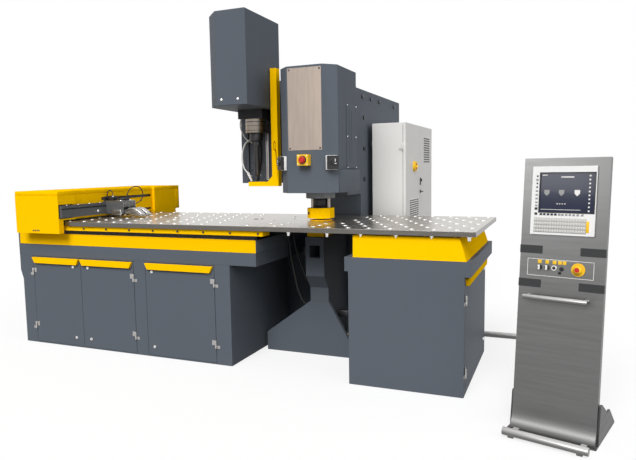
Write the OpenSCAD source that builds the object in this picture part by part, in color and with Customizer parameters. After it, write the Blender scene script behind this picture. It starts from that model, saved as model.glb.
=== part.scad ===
// Plate punching machine with drilling unit, feed beam, ball table and operator console.
// Origin on the floor under the punch axis, +X right along the table, +Y to the back, +Z up, mm.

/* [Table] */
// height of the table top above the floor
table_h = 1080; // [1060:2:1092]
// thickness of the table plates
plate_t = 34; // [26:1:38]
// table edge in front of the punch axis
table_front = 600; // [580:5:640]
// table edge behind the punch axis
table_back = 575; // [540:5:590]
// length of the left plate
left_len = 2280; // [2100:10:2300]
// length of the middle plate around the die
mid_len = 420; // [340:10:420]
// length of the right plate
right_len = 1070; // [1050:10:1150]
// diameter of one ball unit
ball_d = 36; // [24:1:44]
// distance between ball units
ball_step = 160; // [140:10:240]
// diameter of the hole in the left plate under the drill
drill_hole_d = 90; // [70:2:110]

/* [Frame] */
// half width of the frame column and upper arm
frame_half = 150; // [130:2:165]
// back face of the frame behind the punch axis
frame_back = 1857; // [1850:5:1950]
// height of the frame
frame_h = 2158; // [2120:2:2200]
// back of the throat behind the punch axis
throat_d = 560; // [555:5:640]
// height of the die holder between the lower arm and the table
holder_h = 86; // [60:1:120]
// half width of the lower arm
arm_half = 78; // [70:1:90]
// half width of the flared base
base_half = 472; // [420:4:500]
// reach of the flared base towards the right stand
wing_right = 300; // [260:2:330]
// thickness of the flared base
base_t = 40; // [30:1:50]
// width of the power unit beside the frame
tank_w = 510; // [470:5:540]
// height of the power unit
tank_h = 900; // [840:5:940]

/* [Head] */
// half width of the head cover
head_half = 230; // [218:1:238]
// front of the head cover before the punch axis
head_front = 290; // [276:2:310]
// back of the head cover behind the punch axis
head_back = 213; // [200:1:222]
// clear height between the table and the head
daylight = 226; // [222:1:232]
// rise of the head cover above the frame
head_rise = 82; // [60:1:120]
// corner chamfer of the head cover
head_cham = 85; // [72:1:94]
// sheet thickness of the covers
sheet_t = 4; // [3:0.5:6]

/* [Tooling] */
// diameter of the ram rod
ram_d = 96; // [80:1:100]
// diameter of the punch holder
holder_d = 104; // [100:1:112]
// diameter of the punch
punch_d = 50; // [30:1:52]
// width of the stripper
stripper_w = 190; // [182:1:210]
// diameter of the stripper rods
rod_d = 24; // [18:1:26]
// outside diameter of the die
die_d = 130; // [110:1:134]
// running clearance around shafts
run_gap = 0.05; // [0.02:0.01:0.08]

/* [Drill] */
// drill axis to the left of the punch axis
drill_x = 556; // [540:2:570]
// width of the drill housing
drill_w = 376; // [350:2:380]
// front of the drill housing before the punch axis
drill_front = 447; // [430:1:470]
// bottom of the drill housing above the table
drill_lift = 887; // [870:1:910]
// height of the drill housing
drill_h = 690; // [640:5:720]
// corner chamfer of the drill housing
drill_cham = 120; // [100:1:130]
// diameter of the drill quill
quill_d = 176; // [160:1:184]
// diameter of the drill
tool_d = 42; // [30:1:60]
// width of the presser bar
presser_w = 56; // [50:1:60]

/* [Left stand] */
// right end of the left cabinet beside the punch axis
cab_right = 525; // [515:1:560]
// length of the left cabinet
cab_len = 2104; // [2080:2:2110]
// depth of the left cabinet
cab_depth = 1000; // [980:2:1010]
// front of both cabinets before the punch axis
cab_front = 543; // [535:1:550]
// clear height between the yellow band and the strip under the plate
band_gap = 34; // [20:1:60]
// height of the ledge beam
ledge_h = 100; // [90:1:108]
// height of the yellow band
band_h = 96; // [80:1:98]
// thickness of the cabinet walls
wall_t = 5; // [3:0.5:8]
// thickness of the door leaves
leaf_t = 22; // [18:1:26]
// gap around the door leaves
leaf_gap = 3; // [2.5:0.1:4]
// width of the first door
door_w1 = 528; // [510:2:530]
// width of the second door
door_w2 = 548; // [530:2:550]
// width of the third door
door_w3 = 636; // [620:2:640]
// diameter of the hinge pins
pin_d = 8; // [6:0.5:9]

/* [Right stand] */
// left side of the right cabinet
rcab_x = 432; // [425:1:445]
// length of the right cabinet
rcab_len = 779; // [760:1:782]
// front of the right cabinet before the punch axis
rcab_front = 592; // [575:1:598]
// depth of the right cabinet
rcab_depth = 1067; // [1040:1:1080]
// height of the yellow skirt above the apron
skirt_h = 148; // [120:1:180]
// height of the apron
apron_h = 100; // [90:1:110]
// overhang of the apron beside the cabinet
apron_over = 40; // [30:1:46]

/* [Feed beam] */
// left side of the feed beam
beam_x = -2541; // [-2545:1:-2530]
// width of the feed beam at its end boxes
beam_w = 478; // [470:1:484]
// top of the feed beam above the table
beam_h = 222; // [216:1:240]
// front of the feed beam before the punch axis
beam_front = 656; // [652:1:670]
// back of the feed beam behind the punch axis
beam_back = 950; // [900:5:990]
// height of the gripper bar
bar_h = 102; // [80:1:106]

/* [Control cabinet] */
// width of the control cabinet
ecab_w = 301; // [290:1:310]
// length of the control cabinet
ecab_len = 1092; // [1060:2:1096]
// front of the control cabinet behind the punch axis
ecab_y = 750; // [740:2:754]
// top of the control cabinet below the top of the frame
ecab_drop = 283; // [260:1:320]
// height of the control cabinet
ecab_h = 1150; // [1080:5:1170]

/* [Console] */
// width of the console
con_w = 448; // [430:1:470]
// height of the console
con_h = 1531; // [1500:1:1560]
// turn of the console about the upright
con_turn = 15.1; // [10:0.1:18]
// backward lean of the console panel
con_lean = 5.6; // [3:0.1:6.5]
// depth of the console base
con_depth = 436; // [410:2:460]
// diameter of the conduit on the floor
conduit_d = 50; // [40:1:54]

/* [Hidden] */
$fn = 36;

dark = [0.33, 0.36, 0.40];
yellow = [0.96, 0.74, 0.02];
steel = [0.70, 0.68, 0.65];
bright = [0.85, 0.85, 0.86];
black = [0.07, 0.07, 0.08];
light = [0.84, 0.84, 0.83];
red = [0.75, 0.06, 0.05];

gap = 0.5;
eps = 0.01;
plate_z = table_h - plate_t;
ball_top = 6;
mid_half = mid_len / 2;
mid_back = throat_d - 20;
left_x1 = -mid_half;
left_x0 = left_x1 - left_len;
right_x0 = mid_half;
right_x1 = right_x0 + right_len;

neck_front = 56;
jaw_front_y = 141;
arm_low_h = plate_z - holder_h;
neck_z = arm_low_h - 523;
base_side = 150;
head_low = table_h + daylight;
head_top = frame_h + head_rise;
throat_roof = head_low - 38;
arm_nose = 180;
bolt_drop = 58;
die_hole = die_d + 0.2;
die_bore = punch_d + 6;
throat_foot = 420;

ram_low = table_h + 115;
stripper_low = table_h + 20;
stripper_top = stripper_low + 80;
rod_r = holder_d / 2 + rod_d / 2 + 3;
flange_low = head_low - 50;
stop_z = head_low + 246;
flange_d = max(226, 2 * (rod_r + rod_d / 2 + 6));

drill_y0 = -drill_front;
drill_low = table_h + drill_lift;
drill_y1 = 111;
drill_x0 = -drill_x - drill_w / 2 - 22;
drill_x1 = drill_x0 + drill_w;
drill_top = drill_low + drill_h;
quill_low = drill_low - 183;
tool_low = quill_low - 365;
collar_h = 74;
shaft_d = 70;
back_plate_x0 = -drill_x - 205;
back_plate_x1 = drill_x1;
presser_x1 = drill_x1 + 10 + presser_w;
presser_y = -tool_d / 2 - 6;
presser_low = tool_low - 66;
presser_top = presser_low + 922;
presser_t = 60;
back_t = 28;
arm_z = presser_low + 267;
mount_low = drill_low - 467;
mount_top = drill_low + 33;
mount_back = 252;
plate_foot = drill_low - 592;

strip_z = plate_z - 40;
cab_h = strip_z - band_gap - band_h - ledge_h;
cab_x1 = -cab_right;
cab_x0 = cab_x1 - cab_len;
cab_y0 = -cab_front;
cab_y1 = cab_y0 + cab_depth;
ledge_x0 = cab_x0 - 26;
ledge_x1 = cab_x1 + 226;
ledge_top = cab_h + ledge_h;
band_top = ledge_top + band_h;
rail_front = cab_y0 + 24;
rail_back = cab_y1 - 24;
stile = 127;
post = 115;
door_z0 = 12;
door_z1 = cab_h - 10;
bay_1 = cab_x0 + stile;
bay_2 = bay_1 + door_w1 + door_w2 + 3 * leaf_gap;
bay_3 = bay_2 + post;
bay_4 = bay_3 + door_w3 + 2 * leaf_gap;

stud_h = 10;
rcab_h = plate_z - stud_h - skirt_h - apron_h;
rcab_x1 = rcab_x + rcab_len;
rcab_y0 = -rcab_front;
rcab_y1 = rcab_y0 + rcab_depth;
apron_y1 = rcab_y1 + 95;
apron_top = rcab_h + apron_h;
rbay_y0 = rcab_y0 + 26;
rbay_y1 = rcab_y1 - 26;
rdoor_z0 = conduit_d + 10;

beam_x1 = beam_x + beam_w;
face_x = beam_x1 - 27;
beam_y0 = -beam_front;
beam_low = table_h + ball_top + 8;
beam_top = table_h + beam_h;
front_box = 186;
rear_box = 350;
apron_low = band_top + 12;
slot_z = beam_top - 66;
slot_h = 26;
bar_x0 = face_x + 3;
bar_z = table_h + 34;
block_top = slot_z - 11;
block_y0 = -112;
block_y1 = 60;
block_x1 = face_x + 230;
jaw_z = bar_z + 21;
jaw_pin_x = block_x1 - 26;

ecab_x0 = frame_half + 46;
ecab_x1 = ecab_x0 + ecab_w;
ecab_y1 = ecab_y + ecab_len;
ecab_top = frame_h - ecab_drop;
ecab_z0 = ecab_top - ecab_h;
main_switch_z = ecab_top - 380;
main_switch_y = ecab_y + 313;
leaf_e = 24;
half_e = (ecab_len - leaf_gap) / 2;
control_pin_x = ecab_x1 - leaf_e - gap;
control_zs = [ecab_z0 + 180, ecab_top - 220];

run_x = 1700;
run_y = 912;
bend_r = 90;
con_x = 1521;
con_y = -966;
toe = 45;
toe_h = 150;
toe_t = 8;
toe_reach = 130;
toe_v = 22;
base_top = 12;
cheek_t = 12;
cheek_h = 124;
foot_bar_d = 44;
foot_bar_y = toe - toe_reach * cos(con_lean) + toe_v * sin(con_lean) - foot_bar_d / 2 - 0.4;
foot_bar_z = foot_bar_d / 2 + base_top;
skin = 3;
edge = 40;
bezel_u = 51;
bezel_v0 = con_h - 424;
bezel_v1 = con_h - 47;
screen_u0 = bezel_u + 43;
screen_u1 = con_w - 66;
screen_v = bezel_v1 - 252;
screen_h = 215;
strip_h = 44;
stop_u = con_w - 134;
stop_v = con_h - 605;
selector_us = [stop_u - 203, stop_u - 163];
handle_v = con_h - 771;
handle_out = 60;
handle_u0 = 46;
handle_u1 = con_w - 68;

hinge_r = pin_d / 2 + 3;
hinge_off = hinge_r + 0.5;
hinge_zs = [150, cab_h - 150];

// plain box between two corners
module span(a, b) translate(a) cube([b[0] - a[0], b[1] - a[1], b[2] - a[2]]);

// upright prism of a plan outline
module plan(points, z0, z1) translate([0, 0, z0]) linear_extrude(z1 - z0) polygon(points);

// prism of a side outline given as Y, Z pairs, centred on X
module side(points, half) translate([-half, 0, 0]) rotate([90, 0, 90]) linear_extrude(2 * half) polygon(points);

// prism of a front outline given as X, Z pairs, between two Y values
module front(points, y0, y1) translate([0, y1, 0]) rotate([90, 0, 0]) linear_extrude(y1 - y0) polygon(points);

// upright round bar
module post_z(x, y, z0, z1, d) translate([x, y, z0]) cylinder(d = d, h = z1 - z0);

// Frame, lower arm and base
module base_plate() color(dark)
    front([[-base_half, 0], [wing_right, 0], [wing_right, base_side / 4], [arm_half, neck_z], [-arm_half, neck_z],
        [-base_half, base_side]], -neck_front, base_t - neck_front);

module c_frame() color(dark) difference() {
    union() {
        side([[throat_foot, 0], [frame_back, 0], [frame_back, frame_h], [-arm_nose, frame_h],
            [-arm_nose, head_low], [head_back, head_low], [head_back, throat_roof],
            [throat_d - 20, throat_roof], [throat_d, throat_roof - 20], [throat_d, arm_low_h],
            [throat_foot, arm_low_h]], frame_half);
        span([-frame_half - tank_w, throat_d + 80, 0], [1 - frame_half, frame_back - 440, tank_h]);
    }
    post_z(0, 0, head_low - 1, head_low + 330, ram_d + 4);
    for (s = [-1, 1]) post_z(s * rod_r, 0, head_low - 1, head_low + 120, rod_d + 4);
}

module lower_arm() color(dark) difference() {
    side([[base_t - neck_front, 0], [throat_foot, 0], [throat_foot, arm_low_h],
        [-jaw_front_y, arm_low_h], [-jaw_front_y, arm_low_h - 305], [-neck_front, arm_low_h - 410], [-neck_front, neck_z],
        [base_t - neck_front, neck_z]], arm_half);
    span([-43, -jaw_front_y - 1, arm_low_h - 161], [43, 60, arm_low_h - 65]);
    post_z(0, 0, arm_low_h - 110, arm_low_h + 1, die_bore + 20);
}

module die_holder() color(yellow) difference() {
    plan([[-70, -120], [70, -120], [70, 120], [-70, 120]], arm_low_h, plate_z);
    post_z(0, 0, arm_low_h - 1, plate_z + 1, die_bore + 20);
}

module die() color(bright) difference() {
    post_z(0, 0, plate_z, table_h, die_d);
    post_z(0, 0, plate_z - 1, table_h + 1, die_bore);
}

// Head cover and what is fixed on it
function head_plan(o) = let (h = head_half - o, f = -head_front + o, c = head_cham - o * 0.59)
    [[-h, head_back], [-h, f + c], [-h + c, f], [h - c, f], [h, f + c], [h, head_back]];

module head_cover() color(dark) difference() {
    plan(head_plan(0), head_low, head_top);
    intersection() {
        plan(head_plan(sheet_t), head_low - 1, head_top - sheet_t);
        span([-head_half, -head_front, head_low - 1], [head_half, head_back - sheet_t, head_top - sheet_t]);
    }
    span([-frame_half, 0, head_low - 1], [frame_half, head_back + 1, frame_h]);
}

module name_plate() color(bright)
    span([-head_half + head_cham + 10, -head_front - 2, head_low + 318],
        [head_half - head_cham - 10, -head_front, head_top - 16]);

module side_covers() color(dark) {
    for (s = [0, 1]) mirror([s, 0, 0])
        plan([[head_half, -190], [head_half + 14, -150], [head_half + 24, -100], [head_half + 30, -40],
            [head_half + 30, head_back], [head_half, head_back]], head_low, head_low + 168);
    difference() {
        span([head_half, -23, head_low + 177], [head_half + 6, head_back - 13, head_low + 670]);
        for (y = [20, 75]) span([head_half + 3, y, head_low + 230], [head_half + 7, y + 10, head_low + 620]);
    }
}

module bolt_x(x, y, z) translate([x, y, z]) rotate([0, 90, 0]) cylinder(d = 34, h = 12, $fn = 14);

module frame_bolts() color(black) for (s = [0, 1]) mirror([s, 0, 0]) {
    for (k = [0.04, 0.222, 0.426, 0.822]) bolt_x(frame_half, throat_d + k * (frame_back - throat_d), frame_h - bolt_drop);
    for (k = [0.136, 0.435, 0.733]) bolt_x(frame_half, throat_d + 88, throat_roof + k * (frame_h - throat_roof));
}

module stop_box() color(yellow) difference() {
    span([-44, -head_front - 55, stop_z - 41], [44, -head_front, stop_z + 40]);
    translate([0, -head_front - 56, stop_z]) rotate([-90, 0, 0]) cylinder(d = 27, h = 26, $fn = 20);
}

module switch_boxes() color(black) {
    c = head_cham / 2;
    for (s = [0, 1]) mirror([s, 0, 0])
        translate([head_half - c, -head_front + c, head_low + 174]) rotate([0, 0, 45]) {
            span([-42, -46, 0], [42, 0, 100]);
            translate([0, -46, 56]) rotate([90, 0, 0]) cylinder(d = 44, h = 14, $fn = 20);
        }
}

module guide_flanges() color(black) {
    difference() {
        post_z(0, 0, flange_low, head_low, flange_d);
        post_z(0, 0, flange_low - 1, head_low + 1, ram_d + 2 * run_gap);
        for (s = [-1, 1]) post_z(s * rod_r, 0, flange_low - 1, head_low + 1, rod_d + 2 * run_gap);
    }
    difference() {
        span([-drill_x - 108, -108, drill_low - collar_h], [-drill_x + 108, 100, drill_low]);
        post_z(-drill_x, 0, drill_low - collar_h - 1, drill_low + 1, quill_d + 2 * run_gap);
    }
}

// Left stand: cabinet, ledge, yellow band
module left_cabinet() color(dark) difference() {
    union() {
        span([cab_x0, cab_y0, 0], [cab_x1, cab_y1, cab_h]);
        front([[cab_x0 + 1, cab_h - 216], [cab_x0 + 1, cab_h], [ledge_x0, cab_h], [ledge_x0, cab_h - 136]], cab_y0, cab_y1);
    }
    span([cab_x0 + wall_t, cab_y0 + wall_t + 30, wall_t], [bay_2 + 40, cab_y1 - wall_t, cab_h - wall_t]);
    span([bay_2 + 60, cab_y0 + wall_t + 30, wall_t], [cab_x1 - wall_t, cab_y1 - wall_t, cab_h - wall_t]);
    span([bay_1, cab_y0 - 1, door_z0 - leaf_gap], [bay_2, cab_y0 + 60, door_z1 + leaf_gap]);
    span([bay_3, cab_y0 - 1, door_z0 - leaf_gap], [bay_4, cab_y0 + 60, door_z1 + leaf_gap]);
}

module left_ledge() color(dark) {
    difference() {
        span([ledge_x0, cab_y0, cab_h], [ledge_x1, cab_y1, ledge_top]);
        span([ledge_x0 + 60, cab_y0 + 60, cab_h - 1], [ledge_x1 - 60, cab_y1 - 60, ledge_top + 1]);
    }
    span([ledge_x0, cab_y0, ledge_top], [ledge_x0 + 16, cab_y1, band_top]);
    for (y = [rail_front, rail_back - 40]) span([left_x0 + 10, y, ledge_top], [ledge_x1 - 20, y + 40, strip_z]);
}

module left_fascia() color(yellow) {
    span([ledge_x0 + 16, cab_y0, ledge_top], [ledge_x1, cab_y0 + sheet_t, band_top]);
    span([ledge_x0 + 16, cab_y0 + sheet_t, ledge_top], [ledge_x0 + 30, cab_y0 + 20, band_top]);
    span([ledge_x1 - sheet_t, cab_y0 + sheet_t, ledge_top], [ledge_x1, cab_y1, band_top]);
    for (y = [cab_y0 - 36, cab_y1 - 80]) span([left_x0 + 10, y, strip_z], [left_x1 - 10, y + 110, plate_z]);
}

// Table plates and ball units
module left_plate() color(steel) difference() {
    span([left_x0, -table_front, plate_z], [left_x1, table_back, table_h]);
    post_z(-drill_x, 0, plate_z - 1, table_h + 1, drill_hole_d);
}

module mid_plate() color(steel) difference() {
    span([-mid_half, -table_front, plate_z], [mid_half, mid_back, table_h]);
    post_z(0, 0, plate_z - 1, table_h + 1, die_hole);
}

module right_plate() color(steel)
    span([right_x0, -table_front, plate_z], [right_x1, table_back, table_h]);

module ball(x, y) translate([x, y, table_h]) {
    cylinder(d1 = ball_d, d2 = ball_d * 0.7, h = ball_top * 0.6, $fn = 14);
    translate([0, 0, ball_top * 0.6]) cylinder(d1 = ball_d * 0.7, d2 = ball_d * 0.3, h = ball_top * 0.4, $fn = 14);
}

module ball_grid(x0, x1, nx, ny, y0, y1) for (i = [0:nx - 1], j = [0:ny - 1])
    ball(x0 + (x1 - x0) * (i + 0.5 * (j % 2) + 0.25) / nx, y0 + (y1 - y0) * j / (ny - 1));

module ball_units() color(bright) {
    y0 = -table_front + 70;
    y1 = table_back - 75;
    ball_grid(right_x0 + 20, right_x1 - 20, floor(right_len / ball_step) + 1, 8, y0, y1);
    ball_grid(left_x1 - 1080, left_x1 - 460, 5, 7, y0, y1);
    ball_grid(left_x1 - 200, left_x1 - 20, 1, 6, y0, y1);
    ball_grid(left_x1 - 1900, left_x1 - 1120, 5, 7, y0, y1);
    for (y = [-520, -400, -280], s = [-1, 1]) ball(s * (mid_half - 60), y);
}

// Right stand: cabinet with apron, yellow skirt
module right_cabinet() color(dark) {
    difference() {
        span([rcab_x, rcab_y0, 0], [rcab_x1, rcab_y1, rcab_h]);
        span([rcab_x + wall_t, rcab_y0 + wall_t, wall_t], [rcab_x1 - wall_t - 30, rcab_y1 - wall_t, rcab_h - wall_t]);
        span([rcab_x1 - 60, rbay_y0, rdoor_z0 - leaf_gap], [rcab_x1 + 1, rbay_y1, rcab_h - 10 + leaf_gap]);
    }
    difference() {
        span([rcab_x - 26, rcab_y0, rcab_h], [rcab_x1 + apron_over, apron_y1, apron_top]);
        span([rcab_x + 20, rcab_y0 + 40, rcab_h - 1], [rcab_x1 - 40, rcab_y1 - 40, apron_top + 1]);
    }
}

module right_skirt() color(yellow) {
    z1 = plate_z - stud_h;
    difference() {
        polyhedron([[rcab_x + 36, rcab_y0, apron_top], [rcab_x1 + 12, rcab_y0, apron_top],
            [rcab_x1 + 12, rcab_y1 + 60, apron_top], [rcab_x + 36, rcab_y1 + 60, apron_top],
            [rcab_x + 30, rcab_y0 + 22, z1], [rcab_x1 - 36, rcab_y0 + 22, z1],
            [rcab_x1 - 36, rcab_y1 + 40, z1], [rcab_x + 30, rcab_y1 + 40, z1]],
            [[0, 1, 2, 3], [7, 6, 5, 4], [0, 4, 5, 1], [1, 5, 6, 2], [2, 6, 7, 3], [3, 7, 4, 0]]);
        span([rcab_x + 70, rcab_y0 + 60, apron_top - 1], [rcab_x1 - 80, rcab_y1 - 10, z1 + 1]);
    }
    for (x = [rcab_x + 60, rcab_x + 300, rcab_x + 520, rcab_x1 - 66], y = [rcab_y0 + 40, rcab_y1 + 10])
        post_z(x, y, z1, plate_z, 22, $fn = 14);
}

// Drilling unit on the left of the head
module drill_housing() color(dark) difference() {
    plan([[drill_x0 + drill_cham, drill_y0], [drill_x1, drill_y0], [drill_x1, drill_y1], [drill_x0, drill_y1],
        [drill_x0, drill_y0 + drill_cham]], drill_low, drill_top);
    plan([[drill_x0 + drill_cham + 2, drill_y0 + sheet_t], [drill_x1 - sheet_t, drill_y0 + sheet_t],
        [drill_x1 - sheet_t, drill_y1 - sheet_t], [drill_x0 + sheet_t, drill_y1 - sheet_t],
        [drill_x0 + sheet_t, drill_y0 + drill_cham + 2]], drill_low + 12, drill_top - sheet_t);
    post_z(-drill_x, 0, drill_low - 1, drill_low + 13, quill_d + 6);
}

module drill_back_plate() color(steel) {
    difference() {
        span([back_plate_x0, drill_y1, plate_foot], [back_plate_x1, drill_y1 + back_t, drill_low + 240]);
        for (x = [-38, 38], z = [65, 135]) translate([-drill_x + x, drill_y1 - 1, plate_foot + z])
            rotate([-90, 0, 0]) cylinder(d = 18, h = back_t + 2, $fn = 14);
    }
    for (x = [-drill_x + 36, -drill_x - 150]) span([x, drill_y1 - 22, plate_foot + 30], [x + 22, drill_y1, drill_low - collar_h - 10]);
}

module drill_bracket() color(dark) {
    span([-drill_x - 150, drill_y1 + back_t, mount_low], [-drill_x + 160, mount_back, mount_top]);
    span([-drill_x - 150, mount_back, mount_low], [-frame_half, mount_back + 148, mount_top]);
    span([drill_x1 + 14, presser_y + gap, arm_z], [presser_x1 - 4, mount_back, arm_z + 140]);
}

// Control cabinet on the right of the frame
module control_cabinet() color(light) difference() {
    span([ecab_x0, ecab_y, ecab_z0], [ecab_x1 - leaf_e - 1, ecab_y1, ecab_top]);
    span([ecab_x0 + sheet_t, ecab_y + sheet_t, ecab_z0 + sheet_t], [ecab_x1, ecab_y1 - sheet_t, ecab_top - sheet_t]);
}

module cabinet_brackets() color(dark) for (y = [ecab_y + 120, ecab_y1 - 220], z = [ecab_z0 + 120, ecab_top - 200])
    span([frame_half, y, z], [ecab_x0, y + 100, z + 60]);

// a leaf of the control cabinet with its hinge barrels, hinged at its edge towards t along Y
module control_leaf(y0, t) color(light) {
    yh = t < 0 ? y0 - hinge_off : y0 + half_e + hinge_off;
    ye = t < 0 ? y0 : y0 + half_e;
    difference() {
        union() {
            span([ecab_x1 - leaf_e, y0, ecab_z0], [ecab_x1, y0 + half_e, ecab_top]);
            for (z = control_zs) {
                post_z(control_pin_x, yh, z, z + 40, 2 * hinge_r);
                span([control_pin_x, min(yh, ye - t), z], [control_pin_x + hinge_r, max(yh, ye - t), z + 40]);
            }
        }
        for (z = control_zs) post_z(control_pin_x, yh, z - 1, z + 41, pin_d + 2 * run_gap);
    }
}

module control_door_1() control_leaf(ecab_y, -1);
module control_door_2() control_leaf(ecab_y + half_e + leaf_gap, 1);

module main_switch() color(yellow) translate([ecab_x1 + gap, main_switch_y, main_switch_z]) rotate([0, 90, 0]) {
    cylinder(d = 64, h = 12, $fn = 28);
    translate([-9, -28, 11]) cube([18, 56, 26]);
}

// Conduit on the floor from the frame to the console
module conduit() color(steel) difference() {
    r = conduit_d / 2;
    union() {
        translate([frame_half, run_y, r]) rotate([0, 90, 0])
            cylinder(d = conduit_d, h = run_x - frame_half - bend_r, $fn = 20);
        translate([run_x - bend_r, run_y - bend_r, r]) rotate_extrude(angle = 90, $fn = 40)
            translate([bend_r, 0]) circle(d = conduit_d, $fn = 20);
        translate([run_x, run_y - bend_r, r]) rotate([90, 0, 0])
            cylinder(d = conduit_d, h = run_y - bend_r + 720, $fn = 20);
    }
    at_console() span([-200, -300, -1], [con_w + 200, con_depth, 200]);
}

// Operator console, turned about the upright and leaning back
module at_console() translate([con_x, con_y, 0]) rotate([0, 0, -con_turn]) children();
module at_panel() at_console() translate([0, toe, 0]) rotate([-con_lean, 0, 0]) children();

module console_panel() color(steel) at_panel() {
    difference() {
        span([0, 0, toe_h], [con_w, edge, con_h]);
        span([skin, skin, toe_h - 1], [con_w - skin, edge + 1, con_h - skin]);
        translate([stop_u, -1, stop_v]) rotate([-90, 0, 0]) cylinder(d = 22, h = skin + 2, $fn = 20);
        for (u = selector_us) translate([u, -1, stop_v]) rotate([-90, 0, 0]) cylinder(d = 20, h = skin + 2, $fn = 20);
    }
    side_plate([for (i = [0:8]) toe_point(90 * i / 8, 0), for (i = [8:-1:0]) toe_point(90 * i / 8, toe_t)], con_w);
}

// outline of the foot of the panel that curves forward to the foot bar, depth o behind its face
function toe_point(a, o) = [(toe_reach + o) * cos(a) - toe_reach, toe_h - (toe_h - toe_v + o) * sin(a)];

module console_base() color(steel) at_console() {
    span([-cheek_t, 0, 0], [con_w + cheek_t, con_depth, base_top]);
    span([30, con_depth - 8, base_top], [220, con_depth, conduit_d + 20]);
    for (x = [-cheek_t, con_w]) translate([x, 0, 0])
        side_plate([[50, base_top], [con_depth, base_top], [con_depth - 130, cheek_h], [con_depth - 185, cheek_h],
            [120, toe_h + 60], [78, toe_h + 60]], cheek_t);
}

module side_plate(points, t) rotate([90, 0, 90]) linear_extrude(t) polygon(points);

module console_bars() color(bright) {
    at_console() {
        translate([4, foot_bar_y, foot_bar_z]) rotate([0, 90, 0]) cylinder(d = foot_bar_d, h = con_w - 4, $fn = 24);
        for (x = [30, con_w - 60]) span([x, foot_bar_y, 0], [x + 30, -gap, foot_bar_z - foot_bar_d / 4]);
    }
    at_panel() {
        translate([handle_u0, -handle_out, handle_v]) rotate([0, 90, 0])
            cylinder(d = 28, h = handle_u1 - handle_u0, $fn = 24);
        for (u = [handle_u0 + 14, handle_u1 - 14]) translate([u, -handle_out, handle_v])
            rotate([-90, 0, 0]) cylinder(d = 24, h = handle_out, $fn = 20);
    }
}

module display_bezel() color(light) at_panel() difference() {
    span([bezel_u, -14, bezel_v0], [con_w - 61, 0, bezel_v1]);
    span([screen_u0, -15, screen_v], [screen_u1, -6, screen_v + screen_h]);
}

module display_screen() color([0.10, 0.12, 0.22]) at_panel()
    span([screen_u0, -8, screen_v], [screen_u1, -6, screen_v + screen_h]);

module console_strips() color(black) at_panel()
    for (v = [stop_v - 92, stop_v + 97]) {
        span([-2, -3, v - strip_h / 2], [121, 0, v + strip_h / 2]);
        span([con_w - 127, -3, v - strip_h / 2], [con_w + 2, 0, v + strip_h / 2]);
    }

module stop_disc() color(yellow) at_panel() translate([stop_u, 0, stop_v]) rotate([90, 0, 0]) difference() {
    cylinder(d = 72, h = 5, $fn = 40);
    translate([0, 0, -1]) cylinder(d = 22, h = 7, $fn = 20);
}

module mushroom(d, stem) {
    translate([0, 0, -6]) cylinder(d = stem, h = 16, $fn = 20);
    translate([0, 0, 10]) cylinder(d1 = d - 6, d2 = d, h = 6, $fn = 28);
    translate([0, 0, 16]) cylinder(d1 = d, d2 = d * 0.6, h = 10, $fn = 28);
}

module console_stop() color(red) at_panel() translate([stop_u, -6, stop_v]) rotate([90, 0, 0]) mushroom(44, 20);

module head_stop() color(red) translate([0, -head_front - 55 - gap, stop_z]) rotate([90, 0, 0]) {
    translate([0, 0, -10]) cylinder(d = 26, h = 22, $fn = 20);
    translate([0, 0, 12]) cylinder(d1 = 52, d2 = 38, h = 16, $fn = 28);
}

module selector(u) color(black) at_panel() translate([u, -gap, stop_v]) rotate([90, 0, 0]) {
    cylinder(d = 26, h = 8, $fn = 20);
    translate([-5, -13, 8]) cube([10, 26, 10]);
    translate([0, 0, -8]) cylinder(d = 19.9, h = 8 + eps, $fn = 20);
}
module selector_1() selector(selector_us[0]);
module selector_2() selector(selector_us[1]);

// Fixed hinge halves: pin, knuckle and plate, for a door whose leaf lies towards s along X
module hinge_fixed(x, s, z) {
    y = cab_y0 - hinge_off;
    post_z(x, y, z - 24, z - gap, 2 * hinge_r);
    post_z(x, y, z - 1, z + 40, pin_d);
    span([min(x, x - s * 34), cab_y0 - 3, z - 24], [max(x, x - s * 34), cab_y0, z - gap]);
}

module hinge_fixed_side(z) {
    x = rcab_x1 + hinge_off;
    y = rbay_y0 + leaf_gap / 2;
    post_z(x, y, z - 24, z - gap, 2 * hinge_r);
    post_z(x, y, z - 1, z + 40, pin_d);
    span([rcab_x1, y - 24, z - 24], [rcab_x1 + 3, y, z - gap]);
}

// fixed hinge halves of the control cabinet, beyond its face at y towards t
module hinge_fixed_control(y, t) for (z = control_zs) {
    yh = y + t * hinge_off;
    post_z(control_pin_x, yh, z - 24, z - gap, 2 * hinge_r);
    post_z(control_pin_x, yh, z - 1, z + 40, pin_d);
    span([control_pin_x - 34, min(y, y + t * 3), z - 24], [control_pin_x - 1, max(y, y + t * 3), z - gap]);
}

module hinge_pins() color(bright) {
    for (z = hinge_zs) {
        hinge_fixed(bay_1 + leaf_gap / 2, 1, z);
        hinge_fixed(bay_2 - leaf_gap / 2, -1, z);
        hinge_fixed(bay_4 - leaf_gap / 2, -1, z);
        hinge_fixed_side(z);
    }
    hinge_fixed_control(ecab_y, -1);
    hinge_fixed_control(ecab_y1, 1);
}

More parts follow.
